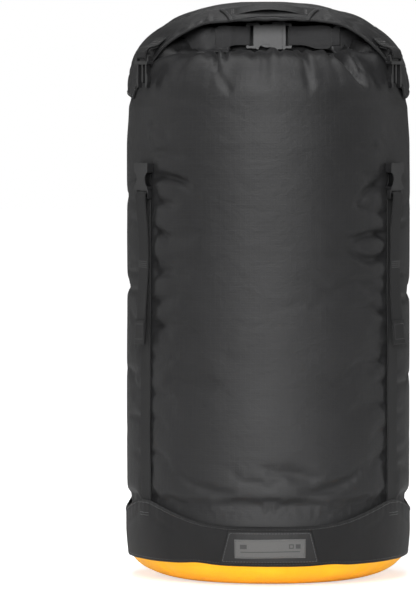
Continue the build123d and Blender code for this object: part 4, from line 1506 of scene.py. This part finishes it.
def lid_relief(length, angle):
    """How far the lid's cloth stands off the dome."""
    turned = np.radians(angle)
    x, y, _ = np.moveaxis(xyz(np.interp(length, DOME_LENGTH, DOME_RADIUS), angle, 0.0), -1, 0)
    z = np.interp(length, DOME_LENGTH, DOME_HEIGHT)
    from_seam = length - np.interp(turn(angle, 0), LID_ANGLES, LID_SEAM)
    from_edge = np.interp(turn(angle, 0), LID_ANGLES, LID_EDGE) - length
    lift = 1.0 * value_noise(x / 52 + 20, y / 52 + 20, 51)
    lift = lift + 0.5 * value_noise(x / 23 + 20, y / 23 + 20 + z / 30, 52)
    # puckers beside the seam, its groove, and puckers at the edge
    along = turned * 84.0
    pucker = np.sin(along / 2.6 + 3 * np.sin(along / 31.0))
    strength = 0.5 + 0.5 * value_noise(along / 28 + 30, 0, 53)
    lift = lift + 0.42 * bell(from_seam, width=7.5) * pucker * strength
    lift = lift - 0.75 * bell(from_seam, width=1.5)
    edge_pucker = np.sin(along / 3.1 + 2 * np.sin(along / 17.0))
    lift = lift + 0.35 * bell(from_edge, width=9.0) * edge_pucker
    # long soft folds running from the plugs up over the lid
    pull = smooth(150, 215, length)
    for strap in STRAPS:
        for offset, depth, width in LID_FOLDS:
            away = turn(angle, strap) - offset * (1 + (215 - length) / 260)
            lift = lift - depth * pull * bell(away, width=width)
            lift = lift + 0.5 * depth * pull * bell(away, 3.6, width=width)
    fade = smooth(0, 25, length) * (0.65 + 0.35 * smooth(0, 60, length))
    return np.minimum(np.clip(lift, -1.6, 1.5) * fade, 0.9)


def settle_lid(points, length, angle, hold_first_row):
    """Movement of a lid panel, held at its sewn edges, at the plugs and under the handle."""
    step = 2
    coarse = points[::step, ::step]
    length, angle = length[::step, ::step], angle[::step, ::step]
    rows, cols = coarse.shape[:2]
    share = np.broadcast_to(np.linspace(0, 1, rows)[:, None], (rows, cols))
    hold = 1 - smooth(0.03, 0.16, 1 - share)
    if hold_first_row:
        hold = np.maximum(hold, 1 - smooth(0.03, 0.16, share))
    x, y = coarse[..., 0], coarse[..., 1]
    handle = (1 - smooth(52, 64, np.abs(x))) * smooth(-108, -99, y) * (1 - smooth(-54, -46, y))
    plugs = near_straps(angle, width=7.0) * smooth(150, 175, length)
    hold = np.clip(np.maximum(np.maximum(hold, handle), plugs), 0, 1)
    move = settle(
        "lid_tmp", coarse, hold, pressure=0.8, frames=14, cap=1.1, shrink=-0.03, bending=0.25
    )
    return upsample(move, *points.shape[:2])


def make_lid_panel(name, node, start, end, share, turned, band):
    """A panel from start to end down the dome; turned lowers the rows along its seam."""
    length = start * (1 - share[:, None]) + end * share[:, None]
    angle = np.broadcast_to(LID_ANGLES, length.shape)
    points = dome(length, angle, lid_relief(length, angle) - 0.1 + turned[:, None])
    points = points + settle_lid(points, length, angle, hold_first_row=band)
    points[..., 2] = np.minimum(points[..., 2], LID_TOP_LIMIT)
    if band:
        down = close_columns(length)
        around = np.broadcast_to(np.linspace(0, TAU * 118, LID_COLS + 1), down.shape)
        uv = np.stack([around, down], -1)
    else:
        uv = close_columns(points[..., :2])
    panel = sheet(name, points, uv, LID_CLOTH, closed=True, inside=(0, 0, 480))
    register(panel, "lid_fabric", node, ride="lid", thickness=1.0)


def make_lid():
    share = np.linspace(0, 1, LID_ROWS)
    top_share, top_turned, band_turned = share.copy(), 0 * share, 0 * share
    top_share[-3:] = 1 - 2.2 / 80, 1 - 1.0 / 80, 1.0
    top_turned[-3:] = -0.1, -0.75, -1.75
    band_turned[:2] = -0.45, -0.08
    make_lid_panel(
        "lid_top_cloth", "lid_top_panel", start=np.full(LID_COLS, 0.03), end=LID_SEAM + 1.1,
        share=top_share, turned=top_turned, band=False,
    )
    make_lid_panel(
        "lid_band_cloth", "lid_side_band", start=LID_SEAM + 0.15, end=LID_EDGE,
        share=share, turned=band_turned, band=True,
    )

    angle = ring_angles(LID_TAPE_STEPS)
    edge = round_lid(angle, LID_EDGE)
    mid = dome(edge - 0.8, angle, lid_relief(edge, angle) - 0.6)
    tangent = unit(np.roll(mid, -1, 0) - np.roll(mid, 1, 0))
    normal = dome_normal(edge, angle)
    normal = unit(normal - tangent * np.sum(normal * tangent, 1, keepdims=True))
    inward = np.cross(tangent, normal)
    uphill = dome(edge - 4, angle) - dome(edge, angle)
    inward *= np.sign(np.sum(inward * uphill, 1, keepdims=True))
    tape = sweep("lid_edge_tape", mid, inward, normal, LID_TAPE_SECTION, EDGE_TAPE, closed=True)
    register(tape, "binding", "lid_binding", ride="lid")

    below_seam = round_lid(angle, LID_SEAM) + 2.4
    seam_path = dome(below_seam, angle, lid_relief(below_seam, angle))
    seam_out = dome_normal(below_seam, angle)
    tape_path = mid + inward * 1.75 + normal * 0.98
    runs = [
        thread(seam_path, seam_out, pitch=3.2, length=2.4, radius=0.3, closed=True),
        thread(tape_path, normal, pitch=3.0, length=2.2, radius=0.27, closed=True),
    ]
    stitching("lid_stitches", runs, "lid")


make_lid()

# ---------------------------------------------------------------- carrying handle on the lid
HANDLE_SEAM = [(-37.8, -92.2), (37.8, -92.2), (47.2, -60.4), (-47.2, -60.4)]  # (x, y)
GRIP_ROWS, GRIP_COLS = 74, 150
GRIP_HALF_X, GRIP_HALF_Y = 40.5, 10.6
GRIP_CENTRE = np.array([0, -77.5, 590.8])
GRIP_SLOPE = math.radians(17.2)
GRIP_FORWARD = np.array([0, -math.cos(GRIP_SLOPE), -math.sin(GRIP_SLOPE)])
GRIP_NORMAL = np.array([0, -math.sin(GRIP_SLOPE), math.cos(GRIP_SLOPE)])
GRIP_SAG = 0.001  # drop per square millimetre of x
# Arch of the grip: x, rise.
GRIP_ARCH_X = (-GRIP_HALF_X, -36, -30, -18, 0, 18, 30, 36, GRIP_HALF_X)
GRIP_ARCH_RISE = (-0.9, -0.2, 1.5, 3.6, 4.9, 3.6, 1.5, -0.2, -0.9)


def on_lid(x, y, lift):
    """Points lifted off the lid at plan positions, and the dome's normals there."""
    angle = np.degrees(np.arctan2(x, -y))
    length = dome_length(np.hypot(x, y))
    lift = lid_relief(length, angle) * 0.6 + lift
    return dome(length, angle, lift), dome_normal(length, angle)


def grip_at(x, forward, lift):
    """Points lifted off the arched middle surface of the grip."""
    rise = spline(GRIP_ARCH_X, GRIP_ARCH_RISE, x) + lift
    points = (
        GRIP_CENTRE + x[..., None] * np.array([1, 0, 0])
        + forward[..., None] * GRIP_FORWARD + rise[..., None] * GRIP_NORMAL
    )
    points[..., 2] -= x**2 * GRIP_SAG
    return points


def make_handle_patch():
    rows, cols = 22, 64
    back = np.linspace(-95.5, -57.0, rows)[:, None]
    half = 41.3 + (back + 95.5) / 38.5 * 10.2
    x = np.linspace(-1, 1, cols) * half
    y = np.broadcast_to(back, x.shape)
    rim = rim_steps(rows, cols)
    grooves = bell(np.abs(x), half - 4.5, width=1.6)
    grooves = grooves + bell(y, -91.5, width=1.6) + bell(y, -61.0, width=1.6)
    lift = np.where(rim == 0, 0.75, 1.35) + 0.25 * value_noise(x / 12 + 9, y / 9 + 20, 61)
    points, _ = on_lid(x, y, lift - 0.5 * grooves * (rim > 0))
    patch = sheet("handle_base_patch", points, np.stack([x, y], -1), PATCH, inside=(0, 0, 480))
    register(patch, "patch", "handle_patch", ride="lid", thickness=0.55)


def make_grip():
    """A ribbed strip that stands off the patch in the middle."""
    x, forward = np.meshgrid(
        np.linspace(-GRIP_HALF_X, GRIP_HALF_X, GRIP_COLS),
        np.linspace(-GRIP_HALF_Y, GRIP_HALF_Y, GRIP_ROWS),
    )
    field = (1 - smooth(33.5, 35.5, np.abs(x))) * (1 - smooth(8.9, 9.6, np.abs(forward)))
    ribs = 0.85 * np.abs(np.sin((forward + 8.9) / 17.8 * math.pi * 8)) ** 0.7
    edge = np.minimum(GRIP_HALF_X - np.abs(x), GRIP_HALF_Y - np.abs(forward))
    lift = field * ribs + 0.55 * (1 - field) - 1.0 * (1 - smooth(0, 1.3, edge))
    points = grip_at(x, forward, lift)
    points[..., 2] = np.minimum(points[..., 2], 603.0)
    grip = sheet(
        "handle_ribbed_grip", points, np.stack([x, forward], -1), GRIP_RUBBER,
        inside=(0, -70, 480),
    )
    register(grip, "grip", "handle_grip", ride="lid", thickness=1.5)


def make_handle_stitches():
    runs = []
    for line in outline(HANDLE_SEAM, 50):
        path, normal = on_lid(*line.T, 1.22)
        runs.append(thread(path, normal, pitch=2.8, length=2.1, radius=0.26))
    for x in (-36.8, -38.6, 36.8, 38.6):
        path = grip_at(np.full(10, x), np.linspace(-8.8, 8.8, 10), 0.62)
        runs.append(thread(path, GRIP_NORMAL, pitch=1.8, length=1.6, radius=0.28))
    stitching("handle_stitches", runs, "lid")


make_handle_patch()
make_grip()
make_handle_stitches()

# ---------------------------------------------------------------- roll-top closure
ROLL_Z, ROLL_STEPS, ROLL_UV_LENGTH = 562.0, 150, 430.0
ROLL_HALF_THICKNESS = 0.38
# The outer end of the spiral, running down into the sack: (up, out).
ROLL_LEAD = [(-8.6, 5.7), (-10.6, 6.4), (-12.2, 7.6), (-13.2, 9.4), (-13.8, 11.6), (-14.1, 14.0)]


def roll_path():
    """Plan points of the mouth's centre line, round the back, with a gap at the front."""
    angle = np.radians(np.linspace(-107.5, -360.0 - 57.5, 900))
    cos, sin = np.cos(angle), np.sin(angle)
    power = 2 / MOUTH_POWER
    line, _ = even_line(np.stack([
        MOUTH_HALF_X * np.sign(cos) * np.abs(cos) ** power,
        MOUTH_HALF_Y * np.sign(sin) * np.abs(sin) ** power,
    ], -1), ROLL_STEPS)
    for _ in range(6):
        line[1:-1] = (line[:-2] + 2 * line[1:-1] + line[2:]) / 4
    return line


def roll_section():
    """Outline (up, out) of the cloth's spiral of about three turns."""
    angle = np.linspace(0.15 * TAU, 3.32 * TAU, 110)
    share = (angle - angle[0]) / (angle[-1] - angle[0])
    cos, sin = np.cos(angle), np.sin(angle)
    line = np.stack([
        (9.6 + 2.9 * share) * np.sign(cos) * np.abs(cos) ** 0.62,
        (1.9 + 3.3 * share) * np.sign(sin) * np.abs(sin) ** 0.8,
    ], -1)
    line = np.vstack([line[:-3], ROLL_LEAD])
    normal = unit(np.stack([np.gradient(line[:, 1]), -np.gradient(line[:, 0])], -1))
    offset = normal * ROLL_HALF_THICKNESS
    return np.vstack([line + offset, (line - offset)[::-1]])


def make_roll():
    """Builds the roll; returns its centre line and outward directions."""
    plan = roll_path()
    tangent = unit(np.gradient(plan, axis=0))
    out = np.stack([tangent[:, 1], -tangent[:, 0]], -1)
    out *= np.sign(np.sum(out * plan, 1, keepdims=True))
    mid = np.column_stack([plan, np.full(ROLL_STEPS, ROLL_Z)])
    out = np.column_stack([out, np.zeros(ROLL_STEPS)])
    section = roll_section()
    size = len(section)
    along = (np.linspace(0, 1, ROLL_STEPS) * ROLL_UV_LENGTH)[:, None]

    def uneven(cell, row, seed):
        return value_noise(along / cell + 3, row, seed)

    height = section[:, 0] * np.minimum(1 + 0.045 * uneven(34, 0.5, 71), 1.04)
    depth = section[:, 1] * (1 + 0.10 * uneven(21, 7.5, 72))
    outer = np.abs(section[:, 1])
    # small pleats running across the strip
    height = height * (1 + 0.06 * uneven(15, 17.1, 75))
    dents = bell(height, 1.5, width=5.0) * uneven(12, 21.7, 76)
    depth = depth + 0.9 * dents * (outer > 3)
    pleats = np.sin(along / 2.9 + height / 3.1 + 2.0 * np.sin(along / 19.0))
    depth = depth + 0.42 * pleats * outer / 5.0
    twist = np.radians(4.5 * uneven(60, 3.3, 73))
    cos, sin = np.cos(twist), np.sin(twist)
    height, depth = height * cos - depth * sin, depth * cos + height * sin
    depth = depth + 0.6 * uneven(26, 11.3, 74)
    points = mid[:, None] + UP * height[..., None] + out[:, None] * depth[..., None]

    girth = arc_length(np.vstack([section, section[:1]]))
    faces, corners = grid_faces(ROLL_STEPS, size, True)
    uv = np.stack(np.broadcast_arrays(girth, along), -1)
    uvs = uv[corners[:, 0], corners[:, 1]] * 0.001
    # both ends are closed by quads across the thickness of the cloth
    faces = [tuple(face) for face in faces]
    end_uvs = []
    for row in (0, ROLL_STEPS - 1):
        first = row * size
        for j in range(size // 2 - 1):
            quad = (first + j, first + j + 1, first + size - 2 - j, first + size - 1 - j)
            faces.append(quad if row else quad[::-1])
            end_uvs += [tuple(section[j] * 0.001)] * 4
    uvs = np.vstack([uvs, end_uvs])
    # the roll's cloth is lighter than the wall's as painted light against the lid's shade
    roll = fix_normals(put("rolled_mouth_cloth", points.reshape(-1, 3), faces, uvs, ROLL_CLOTH_PAINTED_LIGHT))
    register(roll, "ripstop", "rolltop_roll", ride="sack_top")
    return mid, out


ROLL_MID, ROLL_OUT = make_roll()

TAB_Y, TAB_Z = -60.0, 565.0
# Where the right tab passes from the sack to the buckle, x in metres.
TAB_BLEND_START, TAB_BLEND_END = 0.066, 0.0262


def tab_line(bar, direction, half, steps):
    """Plan points from the roll, round the buckle's bar at x = bar, and back behind it."""
    line = [ROLL_MID[i][:2] + ROLL_OUT[i][:2] * 6.9 for i in steps][::-1]
    # distance from the bar away from the buckle, y from TAB_Y
    line += [(bar + direction * away, TAB_Y + y) for away, y in (
        (12.5, -half - 0.7), (6, -half), (1.2, -half), (-1.5, -half * 0.72), (-2.45, 0),
        (-1.5, half * 0.72), (1.2, half), (6, half - 0.3), (12, 1.6), (20, 1.0),
    )]
    return even_curve(line, step=1.4)


def make_tab(name, node, bar, direction, half, steps):
    """A tab looped round a bar, its front leg sewn over the roll. Returns its stitches."""
    line = tab_line(bar, direction, half, steps)
    mid = np.column_stack([line, np.full(len(line), TAB_Z)])
    side = np.broadcast_to(UP, mid.shape)
    out = np.cross(unit(np.gradient(mid, axis=0)), side)
    far = np.abs(mid[:, 0] - bar)
    front = mid[:, 1] < TAB_Y
    span = far[front].max()
    wedge = (1.0 + 0.26 * smooth(10, 30, far)) * (1 - 0.30 * smooth(span - 7, span, far) ** 2)
    widths = np.where(front, wedge, 1.0)
    mid = mid - UP * (front * smooth(12, 30, far) * 1.6)[:, None]
    # the tab webbing's light colour is painted light for the shade under the lid's arch
    tab = sweep(name, mid, side, out, web_section(19.6, 1.15), TAB_WEB_PAINTED_LIGHT, widths=widths)
    register(tab, "webbing", node)
    if direction < 0:
        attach(tab, "sack_top")
    else:
        level = (TAB_Y * 0.001, TAB_Z * 0.001)
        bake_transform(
            tab, "sack_top", "rolltop_insert",
            start=(TAB_BLEND_START, *level), end=(TAB_BLEND_END, *level),
        )
        x = np.array([vert.co.x for vert in tab.data.vertices])
        set_weights(tab, (TAB_BLEND_START - x) / (TAB_BLEND_START - TAB_BLEND_END))

    sewn = np.nonzero(front & (far > 23))[0]
    out = out * np.sign(-out[sewn[0], 1])
    runs = []
    for edge in (-8.6, 8.6):
        path = mid[sewn] + out[sewn] * 0.62 + UP * edge
        runs.append(thread(path, out[sewn], pitch=2.2, length=1.8, radius=0.25))
    for i in (sewn[0] + 1, sewn[-1] - 1):
        path = mid[i] + out[i] * 0.62 + np.linspace(-8.6, 8.6, 9)[:, None] * UP
        runs.append(thread(path, out[i], pitch=2.0, length=1.7, radius=0.25))
    return runs


tab_runs = make_tab(
    "closure_tab_left", "rolltop_tab_left", bar=-22.1, direction=-1, half=2.95, steps=range(6)
)
tab_runs += make_tab(
    "closure_tab_right", "rolltop_tab_right", bar=22.05, direction=1, half=2.55,
    steps=range(-1, -5, -1),
)
stitching("closure_tab_stitches", tab_runs, "sack_top")


# ---------------------------------------------------------------- hard parts kept from the CAD
def finish_hard(node, mat, width=0.35, segments=2):
    """Gives a CAD part its material and rounds its sharp edges."""
    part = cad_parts[node]
    part.data.materials.clear()
    part.data.materials.append(mat)
    part.data.polygons.foreach_set("use_smooth", [True] * len(part.data.polygons))
    bevel = part.modifiers.new("edge", "BEVEL")
    bevel.width = width * 0.001
    bevel.segments = segments
    bevel.limit_method = "ANGLE"
    bevel.angle_limit = math.radians(38)
    bevel.use_clamp_overlap = True
    bevel.harden_normals = True
    shade = part.modifiers.new("shade", "WEIGHTED_NORMAL")
    shade.keep_sharp = True


for buckle, mat in [(key, BLACK_PLASTIC) for key in BUCKLES] + [("rolltop", GREY_PLASTIC)]:
    for part in ("socket", "plug", "arm_a", "arm_b"):
        finish_hard(f"{buckle}_{part}", mat)
finish_hard("rolltop_stiffener", BLACK_PLASTIC, width=0.2, segments=1)
finish_hard("base_seam_tape", SEAM_TAPE, width=0.1, segments=1)

# ---------------------------------------------------------------- stage
FLOOR_HALF, FLOOR_POINTS = 14000, 24


def make_world():
    """White as the camera sees it, and a dim room for the light it casts."""
    world = bpy.data.worlds.new("studio")
    bpy.context.scene.world = world
    world.use_nodes = True
    tree = world.node_tree
    background = tree.nodes["Background"]
    background.inputs[0].default_value = (1, 1, 1, 1)
    rays = tree.nodes.new("ShaderNodeLightPath")
    strength = tree.nodes.new("ShaderNodeMapRange")
    strength.inputs["To Min"].default_value = 0.07
    strength.inputs["To Max"].default_value = 1.0
    tree.links.new(rays.outputs["Is Camera Ray"], strength.inputs[0])
    tree.links.new(strength.outputs[0], background.inputs[1])


def floor_material():
    """Pale floor that glows to the camera, more so away from the sack."""
    mat = Shader("pale_floor")
    vec = mat.object_space()
    tone = mat.noise(vec, scale=3.0, detail=2.0, rough=0.5)
    colour = mat.mix(tone, (0.93, 0.93, 0.93), (0.96, 0.96, 0.96))
    rays = mat.node("LightPath")
    distance = mat.node("VectorMath")
    distance.operation = "LENGTH"
    mat.link(vec, distance.inputs[0])
    fade = mat.ramp(
        distance.outputs["Value"], low=0.35, high=1.5, at_low=0.60, at_high=1.0
    )
    glow = mat.times(rays.outputs["Is Camera Ray"], fade)
    mat.feed(mat.surface.inputs["Emission Color"], (1, 1, 1, 1))
    mat.feed(mat.surface.inputs["Emission Strength"], glow)
    return mat.finish(colour, rough=0.9)


def make_floor():
    ticks = np.linspace(-FLOOR_HALF, FLOOR_HALF, FLOOR_POINTS)
    x, y = np.meshgrid(ticks, ticks)
    points = np.stack([x, y, np.zeros_like(x)], -1)
    sheet("backdrop", points, np.stack([x, y], -1), floor_material())


def place(name, data, location, direction):
    """Adds a lamp or camera that looks along direction."""
    piece = bpy.data.objects.new(name, data)
    bpy.context.scene.collection.objects.link(piece)
    piece.location = location
    piece.rotation_euler = direction.to_track_quat("-Z", "Y").to_euler()
    return piece


def lamp(name, at, aim, size, power, spread=180):
    """Rectangular lamp; places and sizes in metres, power in watts, spread in degrees."""
    light = bpy.data.lights.new(name, "AREA")
    light.shape = "RECTANGLE"
    light.size, light.size_y = size
    light.energy = power
    light.spread = math.radians(spread)
    place(name, light, at, Vector(aim) - Vector(at))


def make_lights():
    lamp("key", at=(-0.12, -1.75, 0.98), aim=(0, 0, 0.49), size=(0.7, 0.55), power=5.0, spread=66)
    lamp("high", at=(-0.1, -1.1, 1.9), aim=(0, 0, 0.52), size=(0.7, 0.5), power=3.4, spread=66)
    lamp("low_fill", at=(0.0, -1.15, 0.10), aim=(0, 0, 0.01), size=(1.3, 0.10), power=1.6,
         spread=60)
    lamp("left_strip", at=(-1.55, 0.42, 0.6), aim=(0, 0, 0.32), size=(0.3, 1.5), power=5.5)
    lamp("right_strip", at=(1.55, 0.46, 0.6), aim=(0, 0, 0.32), size=(0.3, 1.5), power=4.5)
    lamp("top", at=(0.0, 0.5, 2.1), aim=(0, 0, 0.5), size=(1.0, 0.8), power=14)


def make_camera():
    """A long lens from the front, a little above level, framing view_width metres."""
    lens, sensor, view_width = 300, 36, 0.628
    aim = Vector((-0.063, 0.0, 0.2892))
    tilt = math.radians(2.6)
    camera = bpy.data.cameras.new("camera")
    camera.lens = lens
    camera.sensor_width = sensor
    camera.clip_end = 100
    back = Vector((0, -math.cos(tilt), math.sin(tilt)))
    distance = view_width * lens / sensor
    bpy.context.scene.camera = place("camera", camera, aim + back * distance, -back)


make_world()
bpy.context.scene.view_settings.view_transform = "Standard"
make_floor()
make_lights()
make_camera()
